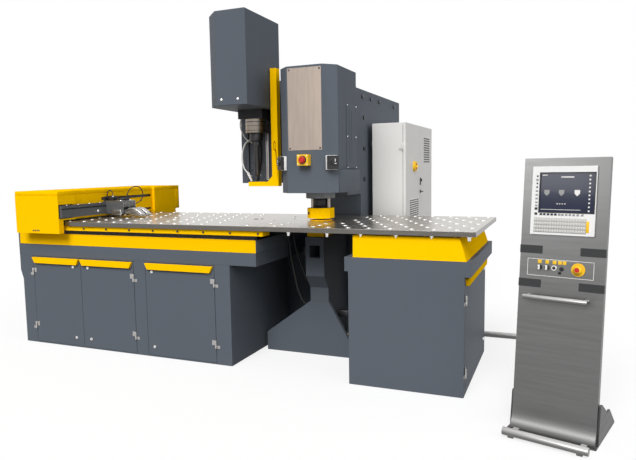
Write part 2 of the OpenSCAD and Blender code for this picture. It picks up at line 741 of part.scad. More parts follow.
// A door leaf of the left stand, hinged at x towards s
module leaf(x0, w, s) {
    xh = s > 0 ? x0 - leaf_gap / 2 : x0 + w + leaf_gap / 2;
    y = cab_y0 - hinge_off;
    difference() {
        union() {
            span([x0, cab_y0, door_z0], [x0 + w, cab_y0 + leaf_t, door_z1]);
            for (z = hinge_zs) {
                post_z(xh, y, z, z + 40, 2 * hinge_r);
                span([min(xh, xh + s * 34), cab_y0 - 3, z], [max(xh, xh + s * 34), cab_y0 + eps, z + 40]);
            }
        }
        span([x0 + 20, cab_y0 + 3, door_z0 + 20], [x0 + w - 20, cab_y0 + leaf_t + 1, door_z1 - 20]);
        for (z = hinge_zs) post_z(xh, y, z - 1, z + 41, pin_d + 2 * run_gap);
    }
}

door_x1 = bay_1 + leaf_gap;
door_x2 = bay_1 + door_w1 + 2 * leaf_gap;
door_x3 = bay_3 + leaf_gap;
module door_1() color(dark) leaf(door_x1, door_w1, 1);
module door_2() color(dark) leaf(door_x2, door_w2, -1);
module door_3() color(dark) leaf(door_x3, door_w3, -1);

// A yellow pull along the top of a door
module pull(x0, w) translate([0, cab_y0, 0]) front([[x0 + 30, door_z1 - 54], [x0 + w - 30, door_z1 - 54],
    [x0 + w - 4, door_z1 - 4], [x0 + 4, door_z1 - 4]], -22, 0);
module pull_1() color(yellow) pull(door_x1, door_w1);
module pull_2() color(yellow) pull(door_x2, door_w2);
module pull_3() color(yellow) pull(door_x3, door_w3);

module right_door() color(dark) {
    xh = rcab_x1 + hinge_off;
    yh = rbay_y0 + leaf_gap / 2;
    difference() {
        union() {
            span([rcab_x1 - leaf_t, rbay_y0 + leaf_gap, rdoor_z0], [rcab_x1, rbay_y1 - leaf_gap, rcab_h - 10]);
            for (z = hinge_zs) {
                post_z(xh, yh, z, z + 40, 2 * hinge_r);
                span([rcab_x1 - eps, yh, z], [rcab_x1 + 3, yh + 34, z + 40]);
            }
        }
        span([rcab_x1 - leaf_t - 1, rbay_y0 + leaf_gap + 20, rdoor_z0 + 20],
            [rcab_x1 - 3, rbay_y1 - leaf_gap - 20, rcab_h - 30]);
        for (z = hinge_zs) post_z(xh, yh, z - 1, z + 41, pin_d + 2 * run_gap);
    }
}

module right_pull() color(yellow) translate([rcab_x1, 0, 0]) side_plate([[rbay_y0 + 40, rcab_h - 66],
    [rbay_y1 - 40, rcab_h - 66], [rbay_y1 - 14, rcab_h - 16], [rbay_y0 + 14, rcab_h - 16]], 22);

// Punching tools
module punch_ram() color(black) {
    post_z(0, 0, ram_low + 52, head_low + 240, ram_d);
    post_z(0, 0, ram_low, ram_low + 52, holder_d);
    post_z(0, 0, table_h + 24, ram_low, punch_d);
}

module stripper() color(yellow) {
    h = stripper_w / 2;
    c = 46;
    difference() {
        plan([[-h + c, -h], [h - c, -h], [h, -h + c], [h, h - c], [h - c, h], [-h + c, h], [-h, h - c], [-h, -h + c]],
            stripper_low, stripper_top);
        post_z(0, 0, stripper_low - 1, stripper_top + 1, punch_d + 4);
        post_z(0, 0, stripper_low + 18, stripper_top + 1, holder_d + 3);
    }
    for (s = [-1, 1]) post_z(s * rod_r, 0, stripper_top - 1, head_low + 40, rod_d);
}

module presser() color(yellow) difference() {
    x0 = drill_x1 + 10;
    front([[-drill_x - 40, presser_low], [presser_x1, presser_low], [presser_x1, presser_top], [x0, presser_top],
        [x0, presser_low + 80], [x0 - 44, presser_low + 36], [-drill_x - 40, presser_low + 36]],
        presser_y - presser_t, presser_y);
    for (z = [20, 80]) translate([x0 + presser_w / 2, presser_y - presser_t - 1, arm_z + z])
        rotate([-90, 0, 0]) cylinder(d = 16, h = presser_t + 2, $fn = 14);
}

module drill_quill() color(bright) difference() {
    post_z(-drill_x, 0, quill_low, drill_low + 480, quill_d);
    post_z(-drill_x, 0, quill_low - 1, quill_low + 260, shaft_d + 2 * run_gap);
}

module drill_spindle() color(black) {
    post_z(-drill_x, 0, quill_low - gap, quill_low + 250, shaft_d);
    post_z(-drill_x, 0, quill_low - 63, quill_low - gap, 112);
    translate([-drill_x, 0, tool_low + 20]) cylinder(d = tool_d, h = quill_low - 63 - tool_low - 20);
    translate([-drill_x, 0, tool_low]) cylinder(d1 = 2, d2 = tool_d, h = 20);
}

// Feed beam with its gripper
module feed_beam() color(yellow) difference() {
    union() {
        span([beam_x, beam_y0, apron_low], [beam_x1, -table_front - 6, beam_low]);
        span([beam_x, beam_y0, beam_low], [beam_x1, beam_y0 + front_box, beam_top]);
        span([beam_x, beam_y0 + front_box, beam_low], [face_x, beam_back - rear_box, beam_top]);
        span([beam_x, beam_back - rear_box, beam_low], [beam_x1, beam_back, beam_top]);
        span([beam_x, table_back + 10, apron_low], [beam_x1, beam_back, beam_low]);
    }
    span([beam_x + sheet_t, beam_y0 + sheet_t, beam_low - 1], [face_x - sheet_t, beam_back - sheet_t, beam_top - sheet_t]);
    span([beam_x + sheet_t, table_back + 10 + sheet_t, apron_low - 1], [beam_x1 - sheet_t, beam_back - sheet_t, beam_low + 1]);
    span([face_x - 40, beam_y0 + sheet_t, bar_z - 8], [beam_x1 + 1, beam_y0 + front_box + 1, bar_z + bar_h + 8]);
    span([face_x - 10, block_y0 - 10, slot_z], [face_x + 1, beam_back - rear_box - 20, slot_z + slot_h]);
    span([face_x - 10, 200, bar_z - 4], [face_x + 1, beam_back - rear_box - 20, bar_z + 16]);
}

module beam_core() color(dark) {
    span([beam_x + 40, beam_y0 + 60, beam_low + 4], [beam_x + 340, beam_back - 380, beam_top - sheet_t]);
    for (x = [beam_x + 60, beam_x + 300]) {
        span([x, -table_front - 6, apron_low], [x + 90, rail_front - run_gap, strip_z - 6]);
        span([x, rail_back + run_gap, apron_low], [x + 90, table_back + 10, strip_z - 6]);
    }
}

module gripper() color(dark) {
    span([bar_x0, beam_y0 + sheet_t + 10, bar_z], [bar_x0 + 42, block_y0, bar_z + bar_h]);
    difference() {
        span([bar_x0, block_y0, bar_z - 2], [block_x1, block_y1, block_top]);
        span([jaw_pin_x - 30, block_y0 + 12, jaw_z - 32], [block_x1 + 1, block_y0 + 80, jaw_z + 36]);
        span([jaw_pin_x - 30, block_y0 + 92, jaw_z - 32], [block_x1 + 1, block_y0 + 160, jaw_z + 36]);
    }
    translate([jaw_pin_x, block_y0 + 1, jaw_z]) rotate([-90, 0, 0]) cylinder(d = 14, h = 170, $fn = 20);
    span([bar_x0, block_y0 + 12, block_top], [bar_x0 + 14, block_y1 - 20, slot_z + 20]);
    span([face_x - 22, block_y0 + 12, slot_z + run_gap], [bar_x0 + 14, block_y1 - 20, slot_z + 20]);
}

// One gripping finger on the pin of the gripper
module finger(y) color(steel) difference() {
    union() {
        translate([jaw_pin_x, y, jaw_z]) rotate([-90, 0, 0]) cylinder(d = 36, h = 60, $fn = 24);
        front([[jaw_pin_x, jaw_z - 18], [jaw_pin_x + 210, jaw_z - 41], [jaw_pin_x + 218, jaw_z - 33],
            [jaw_pin_x + 120, jaw_z + 12], [jaw_pin_x, jaw_z + 18]], y, y + 60);
    }
    translate([jaw_pin_x, y - 1, jaw_z]) rotate([-90, 0, 0]) cylinder(d = 14 + 2 * run_gap, h = 62, $fn = 20);
}
module jaw_front() finger(block_y0 + 16);
module jaw_back() finger(block_y0 + 96);

base_plate();
c_frame();
lower_arm();
die_holder();
die();
head_cover();
name_plate();
side_covers();
frame_bolts();
stop_box();
switch_boxes();
guide_flanges();
left_cabinet();
left_ledge();
left_fascia();
left_plate();
mid_plate();
right_plate();
ball_units();
right_cabinet();
right_skirt();
drill_housing();
drill_back_plate();
drill_bracket();
control_cabinet();
cabinet_brackets();
conduit();
console_panel();
console_base();
console_bars();
display_bezel();
display_screen();
console_strips();
stop_disc();
hinge_pins();
punch_ram();
stripper();
presser();
drill_quill();
drill_spindle();
feed_beam();
beam_core();
gripper();
jaw_front();
jaw_back();
door_1();
door_2();
door_3();
pull_1();
pull_2();
pull_3();
right_door();
right_pull();
control_door_1();
control_door_2();
main_switch();
head_stop();
console_stop();
selector_1();
selector_2();
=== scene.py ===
"""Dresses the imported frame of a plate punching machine: finishes, fittings, hoses and a plain studio."""

import logging
import math
from dataclasses import dataclass
from enum import Enum
from itertools import product
from typing import Iterable, Optional, Sequence

import bmesh
import bpy
from mathutils import Matrix, Vector


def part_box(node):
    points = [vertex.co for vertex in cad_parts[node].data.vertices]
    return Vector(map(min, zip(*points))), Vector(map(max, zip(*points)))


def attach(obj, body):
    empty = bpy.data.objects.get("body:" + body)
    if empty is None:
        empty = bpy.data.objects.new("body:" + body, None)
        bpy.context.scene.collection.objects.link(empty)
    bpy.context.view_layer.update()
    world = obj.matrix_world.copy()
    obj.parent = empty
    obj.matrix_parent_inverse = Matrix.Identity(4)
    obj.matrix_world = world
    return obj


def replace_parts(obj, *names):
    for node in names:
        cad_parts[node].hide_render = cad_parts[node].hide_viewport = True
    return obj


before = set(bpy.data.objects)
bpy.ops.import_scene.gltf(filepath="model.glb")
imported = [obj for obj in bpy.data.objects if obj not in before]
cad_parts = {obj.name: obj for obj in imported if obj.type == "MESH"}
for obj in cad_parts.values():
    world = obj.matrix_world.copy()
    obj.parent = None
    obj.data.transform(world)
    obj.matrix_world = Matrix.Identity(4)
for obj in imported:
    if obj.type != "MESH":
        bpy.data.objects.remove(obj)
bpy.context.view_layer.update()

LOG = logging.getLogger("punching_machine")
MM = 0.001
Triple = tuple[float, float, float]
Pair = tuple[float, float]
Socket = bpy.types.NodeSocket
UP: Triple = (0.0, 0.0, 1.0)
FRONT: Triple = (0.0, -1.0, 0.0)
RIGHT: Triple = (1.0, 0.0, 0.0)
LEFT: Triple = (-1.0, 0.0, 0.0)
WHITE = (1.0, 1.0, 1.0, 1.0)
SIDES = ((1, "right"), (-1, "left"))


class Slot(Enum):
    """Material slots of the record."""

    DARK_PAINT = "dark_paint"
    YELLOW_PAINT = "yellow_paint"
    LIGHT_PAINT = "light_paint"
    TABLE_STEEL = "table_steel"
    BRIGHT_STEEL = "bright_steel"
    TOOL_STEEL = "tool_steel"
    CONSOLE_STEEL = "console_steel"
    BLACK_PLASTIC = "black_plastic"
    GREY_PLASTIC = "grey_plastic"
    SCREEN_GLASS = "screen_glass"
    RED_PLASTIC = "red_plastic"
    YELLOW_PLASTIC = "yellow_plastic"


class Body(Enum):
    """Bodies of the machine that new pieces ride on."""

    MACHINE = "machine"
    QUILL = "quill"
    SPINDLE = "spindle"
    RAM = "ram"
    STRIPPER = "stripper_unit"
    PRESSER = "presser_unit"
    BEAM = "beam"
    GRIPPER = "gripper_carriage"
    JAW_FRONT = "finger_front"
    JAW_BACK = "finger_back"
    LEFT_DOOR_1 = "left_door_1"
    LEFT_DOOR_2 = "left_door_2"
    LEFT_DOOR_3 = "left_door_3"
    SIDE_DOOR = "side_door"
    CONTROL_DOOR_1 = "cabinet_door_1"
    CONTROL_DOOR_2 = "cabinet_door_2"
    CONSOLE_BUTTON = "console_button"
    SELECTOR_1 = "console_selector_1"
    SELECTOR_2 = "console_selector_2"


class Tree:
    """Adds and joins the nodes of one shader tree."""

    def __init__(self, tree: bpy.types.NodeTree) -> None:
        """Keeps the tree."""
        self.tree = tree

    def feed(self, node: bpy.types.Node, inputs: dict) -> None:
        """Sets a node's inputs, by name or number, to values or to other nodes' sockets."""
        for key, value in inputs.items():
            if isinstance(value, Socket):
                self.tree.links.new(value, node.inputs[key])
            else:
                node.inputs[key].default_value = value

    def node(self, kind: str, inputs: Optional[dict] = None, **options: object) -> bpy.types.Node:
        """Adds a node.

        Args:
            kind: the node's type name.
            inputs: values or sockets for its inputs, by name or number.
            options: the node's own settings.
        Returns:
            The new node.
        """
        made = self.tree.nodes.new(kind)
        for key, value in options.items():
            setattr(made, key, value)
        self.feed(made, inputs or {})
        return made

    def math(self, operation: str, *values: object) -> Socket:
        """Adds a Math node and gives its result."""
        return self.node("ShaderNodeMath", dict(enumerate(values)), operation=operation).outputs[0]

    def noise(self, vector: Socket, scale: object, detail: float) -> Socket:
        """Adds a noise texture and gives its value."""
        inputs = {"Vector": vector, "Scale": scale, "Detail": detail}
        return self.node("ShaderNodeTexNoise", inputs).outputs["Fac"]

    def scaled(self, color: Socket, level: Socket) -> Socket:
        """Adds a node that brightens or darkens a colour and gives its result."""
        return self.node("ShaderNodeVectorMath", {0: color, "Scale": level}, operation="SCALE").outputs[0]


@dataclass(frozen=True)
class Effect:
    """A shader node group that finishes share: fine grain over a slow drift of tone."""

    name: str
    slow_scale: float
    slow_detail: float
    slow_share: float
    fine_detail: float
    fine_share: float
    offset: float
    rough_swing: float

    def group(self) -> bpy.types.NodeTree:
        """Gives the node group, made the first time."""
        if self.name in bpy.data.node_groups:
            return bpy.data.node_groups[self.name]
        made = bpy.data.node_groups.new(self.name, "ShaderNodeTree")
        for way, label, kind in (
            ("INPUT", "Vector", "Vector"), ("INPUT", "Color", "Color"), ("INPUT", "Grain", "Float"),
            ("INPUT", "Drift", "Float"), ("INPUT", "Roughness", "Float"),
            ("OUTPUT", "Color", "Color"), ("OUTPUT", "Roughness", "Float"), ("OUTPUT", "Height", "Float"),
        ):
            made.interface.new_socket(name=label, in_out=way, socket_type=f"NodeSocket{kind}")
        tree = Tree(made)
        given = tree.node("NodeGroupInput").outputs
        slow = tree.noise(given["Vector"], self.slow_scale, self.slow_detail)
        fine = tree.noise(given["Vector"], given["Grain"], self.fine_detail)
        tone = tree.math("MULTIPLY_ADD", slow, self.slow_share, self.offset)
        tone = tree.math("MULTIPLY_ADD", fine, self.fine_share, tone)
        level = tree.math("MULTIPLY_ADD", tone, given["Drift"], 1.0)
        rough = tree.math("MULTIPLY_ADD", fine, self.rough_swing, given["Roughness"])
        tree.node(
            "NodeGroupOutput",
            {
                "Color": tree.scaled(given["Color"], level),
                "Roughness": tree.math("SUBTRACT", rough, self.rough_swing / 2),
                "Height": fine,
            },
        )
        return made


# Orange peel and faint dust of sprayed and moulded surfaces, and the long scratches of a grinding belt
SPRAYED = Effect("sprayed_surface", 1.3, 5.0, 2.0, 2.0, 0.6, -1.3, 0.14)
BELT_GROUND = Effect("brushed_surface", 1.1, 3.0, 1.2, 4.0, 2.0, -1.6, 0.2)


@dataclass(frozen=True)
class Finish:
    """A sprayed or moulded finish and the record slot that it belongs to."""

    name: str
    slot: Slot
    color: Triple
    roughness: float = 0.45
    metallic: float = 0.0
    coat: float = 0.0
    grain: float = 420.0
    drift: float = 0.06
    bump: float = 0.05
    depth: float = 0.0004
    stretch: Triple = (1.0, 1.0, 1.0)
    gloss: float = 0.3
    # brightness of side faces and undersides against faces that look up, 1.0 for none: painted shade
    painted_side_shade: float = 1.0
    effect: Effect = SPRAYED

    def tone(self, tree: Tree, color: Socket) -> Socket:
        """Darkens side faces and undersides with painted shade, where the finish asks for it.

        Args:
            tree: the material's nodes.
            color: colour of the faces that look up.
        Returns:
            The colour over the whole piece.
        """
        if self.painted_side_shade == 1.0:
            return color
        face = tree.node("ShaderNodeNewGeometry")
        parts = tree.node("ShaderNodeSeparateXYZ", {0: face.outputs["Normal"]})
        flat = tree.math("MAXIMUM", parts.outputs["Z"], 0.0)
        return tree.scaled(color, tree.math("MULTIPLY_ADD", flat, 1.0 - self.painted_side_shade, self.painted_side_shade))

    def material(self) -> bpy.types.Material:
        """Gives the finish as a material on Object coordinates, made the first time."""
        if self.name in bpy.data.materials:
            return bpy.data.materials[self.name]
        made = bpy.data.materials.new(self.name)
        made.use_nodes = True
        made.diffuse_color = (*self.color, 1.0)
        tree = Tree(made.node_tree)
        spot = tree.node("ShaderNodeTexCoord")
        place = tree.node("ShaderNodeMapping", {"Vector": spot.outputs["Object"], "Scale": self.stretch})
        look = tree.node(
            "ShaderNodeGroup",
            {
                "Vector": place.outputs["Vector"], "Color": (*self.color, 1.0), "Grain": self.grain,
                "Drift": self.drift, "Roughness": self.roughness,
            },
            node_tree=self.effect.group(),
        )
        relief = {"Strength": self.bump, "Distance": self.depth, "Height": look.outputs["Height"]}
        bump = tree.node("ShaderNodeBump", relief)
        tree.feed(
            made.node_tree.nodes["Principled BSDF"],
            {
                "Base Color": self.tone(tree, look.outputs["Color"]), "Roughness": look.outputs["Roughness"],
                "Normal": bump.outputs["Normal"], "Metallic": self.metallic, "Coat Weight": self.coat,
                "Specular IOR Level": self.gloss,
            },
        )
        return made


@dataclass(frozen=True)
class Brushed(Finish):
    """A metal finish with grinding or brushing lines; the stretch sets their direction."""

    metallic: float = 1.0
    gloss: float = 0.5
    grain: float = 60.0
    drift: float = 0.12
    bump: float = 0.08
    effect: Effect = BELT_GROUND


BLUE_GREY = Finish("blue_grey_paint", Slot.DARK_PAINT, (0.104, 0.119, 0.141), 0.46, drift=0.05, gloss=0.02)
COLLAR_BLACK = Finish("collar_black", Slot.TOOL_STEEL, (0.012, 0.012, 0.014), 0.5)
GRIP_GREY = Finish("gripper_grey", Slot.DARK_PAINT, (0.13, 0.135, 0.14), 0.4, metallic=0.5)
DEEP_GREY = Finish("deep_grey_paint", Slot.DARK_PAINT, (0.035, 0.04, 0.046), 0.55)
YELLOW = Finish("golden_yellow_paint", Slot.YELLOW_PAINT, (0.96, 0.545, 0.001), 0.42, drift=0.03, gloss=0.0)
LIGHT_GREY = Finish("pale_grey_paint", Slot.LIGHT_PAINT, (0.66, 0.65, 0.635), 0.5, drift=0.03)
WHITE_PLASTIC = Finish("white_plastic", Slot.LIGHT_PAINT, (0.78, 0.77, 0.75), 0.4, drift=0.03)
# Side faces and undersides darker: painted shade standing for the dark floor seen in the plates' edges,
# together with the plates' darker sawn edges
GROUND_STEEL = Brushed(
    "ground_table_steel", Slot.TABLE_STEEL, (0.52, 0.49, 0.45), 0.28, stretch=(0.12, 1.0, 1.0), painted_side_shade=0.3
)
PLATE_DARK = Finish("dark_slide_plate", Slot.TABLE_STEEL, (0.062, 0.07, 0.084), 0.45)
PIPE_STEEL = Brushed("zinc_pipe", Slot.TABLE_STEEL, (0.42, 0.41, 0.4), 0.38, stretch=(0.2, 0.2, 1.0))
JAW_STEEL = Brushed("jaw_steel", Slot.TABLE_STEEL, (0.5, 0.49, 0.48), 0.28, stretch=(0.15, 1.0, 1.0))
NAME_PLATE = Brushed(
    "brushed_aluminium", Slot.BRIGHT_STEEL, (0.31, 0.258, 0.222), 0.45, stretch=(1.0, 1.0, 0.08), drift=0.1
)
CHROME = Brushed("bright_chrome", Slot.BRIGHT_STEEL, (0.72, 0.71, 0.7), 0.2, drift=0.06)
BALL_STEEL = Brushed("ball_steel", Slot.BRIGHT_STEEL, (0.92, 0.91, 0.89), 0.28, drift=0.04)
# Side faces and undersides darker: painted shade, the lit top and shaded underside of a round bar
SATIN_BAR = Brushed(
    "satin_bar", Slot.BRIGHT_STEEL, (0.6, 0.595, 0.59), 0.34, metallic=0.3, stretch=(0.2, 0.2, 1.0),
    painted_side_shade=0.26,
)
QUILL_STEEL = Brushed("quill_steel", Slot.BRIGHT_STEEL, (0.27, 0.235, 0.2), 0.3, stretch=(0.4, 0.4, 2.5))
BRASS = Brushed("brass_fitting", Slot.BRIGHT_STEEL, (0.6, 0.42, 0.16), 0.3)
BLACK_OXIDE = Brushed("black_oxide_steel", Slot.TOOL_STEEL, (0.045, 0.045, 0.048), 0.42, metallic=0.7)
CONSOLE_STEEL = Brushed(
    "satin_stainless", Slot.CONSOLE_STEEL, (0.15, 0.149, 0.148), 0.38, stretch=(0.05, 0.05, 1.0), drift=0.1
)
CONSOLE_DARK = Brushed(
    "dark_stainless", Slot.CONSOLE_STEEL, (0.07, 0.07, 0.07), 0.42, stretch=(0.05, 0.05, 1.0)
)
BLACK_PLASTIC = Finish("moulded_black", Slot.BLACK_PLASTIC, (0.018, 0.018, 0.02), 0.42)
STRIP_PLASTIC = Finish("strip_plastic", Slot.BLACK_PLASTIC, (0.04, 0.041, 0.042), 0.55, gloss=0.15)
RUBBER = Finish("hose_rubber", Slot.BLACK_PLASTIC, (0.016, 0.016, 0.017), 0.55, grain=900.0)
GREY_PLASTIC = Finish("bezel_plastic", Slot.GREY_PLASTIC, (0.8, 0.8, 0.79), 0.45)
KEY_GREY = Finish("key_grey", Slot.GREY_PLASTIC, (0.3, 0.3, 0.3), 0.5)
KEY_BED = Finish("key_bed", Slot.GREY_PLASTIC, (0.44, 0.435, 0.42), 0.5)
KEY_PALE = Finish("key_pale", Slot.GREY_PLASTIC, (0.62, 0.61, 0.58), 0.5)
SCREEN = Finish(
    "display_glass", Slot.SCREEN_GLASS, (0.011, 0.016, 0.042), 0.16, coat=0.08, drift=0.2, bump=0.01,
    gloss=0.2,
)
RED = Finish("stop_red", Slot.RED_PLASTIC, (0.52, 0.016, 0.014), 0.32, coat=0.2)
YELLOW_PLASTIC = Finish("signal_yellow", Slot.YELLOW_PLASTIC, (0.86, 0.52, 0.02), 0.38)


def extent(node: str) -> tuple[Vector, Vector]:
    """Gives a solid's lowest and highest corners in millimetres."""
    low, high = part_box(node)
    return Vector(low) / MM, Vector(high) / MM


def settle(item: bpy.types.Object, body: Body, finish: Finish) -> bpy.types.Object:
    """Puts a new piece in the scene and gives it its finish and body.

    Args:
        item: the piece, in place.
        body: the body that it rides on.
        finish: its finish.
    Returns:
        The same piece.
    """
    bpy.context.scene.collection.objects.link(item)
    item.data.materials.append(finish.material())
    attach(item, body.value)
    LOG.info("%s rides on %s", item.name, body.value)
    return item


class Shape:
    """A mesh in the making, in millimetres, that becomes one piece; methods that add a form give it back."""

    def __init__(self, place: Optional[Matrix] = None) -> None:
        """Starts empty, measured in the given frame or the machine's own."""
        self.mesh = bmesh.new()
        self.place = place or Matrix()

    @staticmethod
    def soften(
        mesh: bmesh.types.BMesh, edges: Iterable[bmesh.types.BMEdge], width: float, segments: int = 2
    ) -> None:
        """Rounds some edges of a mesh."""
        bmesh.ops.bevel(
            mesh, geom=list(edges), offset=width, offset_type="OFFSET", segments=segments,
            profile=0.5, affect="EDGES", material=-1, clamp_overlap=True,
        )

    def box(self, low: Triple, high: Triple, round_off: float = 0.0, segments: int = 2) -> "Shape":
        """Adds a box.

        Args:
            low: its lowest corner.
            high: its highest corner.
            round_off: width of the rounding of its edges.
            segments: steps in the rounding.
        """
        a, b = Vector(low), Vector(high)
        matrix = Matrix.Translation((a + b) / 2) @ Matrix.Diagonal((*(b - a), 1.0))
        made = bmesh.ops.create_cube(self.mesh, size=1.0, matrix=matrix)["verts"]
        if round_off > 0:
            self.soften(self.mesh, {edge for vert in made for edge in vert.link_edges}, round_off, segments)
        return self

    def rod(
        self, start: Triple, end: Triple, radius: float, tip: Optional[float] = None,
        sides: int = 20, round_off: float = 0.0, spin: float = 0.0,
    ) -> "Shape":
        """Adds a round or many-sided bar between two points.

        Args:
            start: middle of its first end.
            end: middle of its other end.
            radius: its radius.
            tip: radius at the other end, where it tapers.
            sides: sides of the bar.
            round_off: width of the rounding of its rims.
            spin: turn of its sides about its axis, in degrees.
        """
        a, b = Vector(start), Vector(end)
        turn = (b - a).to_track_quat("Z", "Y").to_matrix().to_4x4()
        turn = turn @ Matrix.Rotation(math.radians(spin), 4, "Z")
        made = bmesh.ops.create_cone(
            self.mesh, cap_ends=True, segments=sides, radius1=radius,
            radius2=radius if tip is None else tip, depth=(b - a).length,
            matrix=Matrix.Translation((a + b) / 2) @ turn,
        )["verts"]
        if round_off > 0:
            caps = {face for vert in made for face in vert.link_faces if len(face.verts) == sides}
            self.soften(self.mesh, {edge for face in caps for edge in face.edges}, round_off)
        return self

    def take(self, part: bmesh.types.BMesh) -> "Shape":
        """Adds another mesh to this one and frees it."""
        spare = bpy.data.meshes.new("spare")
        part.to_mesh(spare)
        part.free()
        self.mesh.from_mesh(spare)
        bpy.data.meshes.remove(spare)
        return self

    def turned(self, profile: Sequence[Pair], base: Triple, axis: Triple, steps: int = 20) -> "Shape":
        """Adds a turned form.

        Args:
            profile: pairs of radius and height from the base, ending on the axis or closed.
            base: foot of the axis.
            axis: direction of the axis.
            steps: steps of the full turn.
        """
        part = bmesh.new()
        verts = [part.verts.new((radius, 0.0, height)) for radius, height in profile]
        edges = [part.edges.new(pair) for pair in zip(verts, verts[1:])]
        bmesh.ops.spin(
            part, geom=verts + edges, cent=(0, 0, 0), axis=(0, 0, 1), angle=math.tau,
            steps=steps, use_merge=True, use_duplicate=False,
        )
        bmesh.ops.remove_doubles(part, verts=part.verts, dist=0.001)
        bmesh.ops.recalc_face_normals(part, faces=part.faces)
        turn = Vector(axis).to_track_quat("Z", "Y").to_matrix().to_4x4()
        bmesh.ops.transform(part, matrix=Matrix.Translation(base) @ turn, verts=part.verts)
        return self.take(part)

    def ring(
        self, base: Triple, axis: Triple, inner: float, outer: float, height: float, steps: int = 24
    ) -> "Shape":
        """Adds a flat ring standing on its base."""
        lip = min(height, outer - inner) * 0.25
        profile = (
            (inner, 0.0), (inner, height), (outer - lip, height), (outer, height - lip),
            (outer, 0.0), (inner, 0.0),
        )
        return self.turned(profile, base, axis, steps)

    def domes(
        self, bases: Iterable[Triple], axis: Triple, radius: float, height: float, steps: int = 16
    ) -> "Shape":
        """Adds low domes of one size, such as screw heads."""
        arc = [(radius * math.cos(a), height * math.sin(a)) for a in (0.0, 0.4, 0.8, 1.2)]
        for base in bases:
            self.turned(((radius, -0.5), *arc, (0.0, height)), base, axis, steps)
        return self

    def prism(self, outline: Sequence[Triple], along: Triple, round_off: float = 0.0) -> "Shape":
        """Adds a flat outline extruded along a vector.

        Args:
            outline: corners of the flat outline.
            along: the way and length of the extrusion.
            round_off: width of the rounding.
        """
        part = bmesh.new()
        face = part.faces.new([part.verts.new(point) for point in outline])
        made = bmesh.ops.extrude_face_region(part, geom=[face])["geom"]
        moved = [item for item in made if isinstance(item, bmesh.types.BMVert)]
        bmesh.ops.translate(part, vec=Vector(along), verts=moved)
        bmesh.ops.recalc_face_normals(part, faces=part.faces)
        if round_off > 0:
            self.soften(part, part.edges, round_off)
        return self.take(part)

    def piece(
        self, name: str, finish: Finish, body: Body = Body.MACHINE, crease: float = 38.0
    ) -> bpy.types.Object:
        """Makes the mesh a piece of the machine.

        Args:
            name: the piece's name.
            finish: its finish.
            body: the body that it rides on.
            crease: angle in degrees above which an edge stays sharp.
        Returns:
            The new object, at the origin.
        """
        bmesh.ops.transform(self.mesh, matrix=Matrix.Scale(MM, 4) @ self.place, verts=self.mesh.verts)
        mesh = bpy.data.meshes.new(name)
        self.mesh.to_mesh(mesh)
        self.mesh.free()
        mesh.polygons.foreach_set("use_smooth", [True] * len(mesh.polygons))
        mesh.set_sharp_from_angle(angle=math.radians(crease))
        return settle(bpy.data.objects.new(name, mesh), body, finish)


@dataclass
class Hose:
    """A free hose or cable with both ends on the machine, along a smooth route through its knots."""

    name: str
    diameter: float
    knots: Sequence[Triple]
    finish: Finish = RUBBER
    body: Body = Body.MACHINE
    steps: int = 5

    def route(self) -> list[Vector]:
        """Gives points in metres on a smooth curve through the knots."""
        knots = [Vector(knot) * MM for knot in self.knots]
        knots = [2 * knots[0] - knots[1], *knots, 2 * knots[-1] - knots[-2]]
        points = []
        for a, b, c, d in zip(knots, knots[1:], knots[2:], knots[3:]):
            for step in range(self.steps):
                t = step / self.steps
                points.append(
                    0.5 * (2 * b + (c - a) * t + (2 * a - 5 * b + 4 * c - d) * t * t
                           + (3 * b - a - 3 * c + d) * t * t * t)
                )
        return [*points, knots[-2]]

    def build(self) -> None:
        points = self.route()
        curve = bpy.data.curves.new(self.name, "CURVE")
        curve.dimensions = "3D"
        curve.bevel_depth = self.diameter * MM / 2
        curve.bevel_resolution = 3
        curve.use_fill_caps = True
        line = curve.splines.new("POLY")
        line.points.add(len(points) - 1)
        for spot, point in zip(line.points, points):
            spot.co = (*point, 1.0)
        line.use_smooth = True
        item = settle(bpy.data.objects.new(self.name, curve), self.body, self.finish)


class Assembly:
    """Base of the machine's sub-assemblies."""

    def coat(self, finish: Finish, *nodes: str, edge: float = 0.0) -> None:
        """Gives carried-over solids a finish and, where asked, softened edges.

        Args:
            finish: the finish.
            nodes: names of the solids.
            edge: width of the edge rounding in millimetres.
        """
        for name in nodes:
            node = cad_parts[name]
            node.data.materials.clear()
            node.data.materials.append(finish.material())
            if edge > 0:
                weld = node.modifiers.new("joined_corners", "WELD")
                weld.merge_threshold = 0.00002
                bevel = node.modifiers.new("soft_edges", "BEVEL")
                bevel.width = edge * MM
                bevel.segments = 2
                bevel.limit_method = "ANGLE"
                bevel.angle_limit = math.radians(50)
                bevel.use_clamp_overlap = True
                bevel.harden_normals = True
            LOG.info("%s dressed in %s", name, finish.name)

    def dress(self) -> None:
        """Dresses the solids of this sub-assembly."""

    def build(self) -> None:
        """Builds the pieces that this sub-assembly adds."""


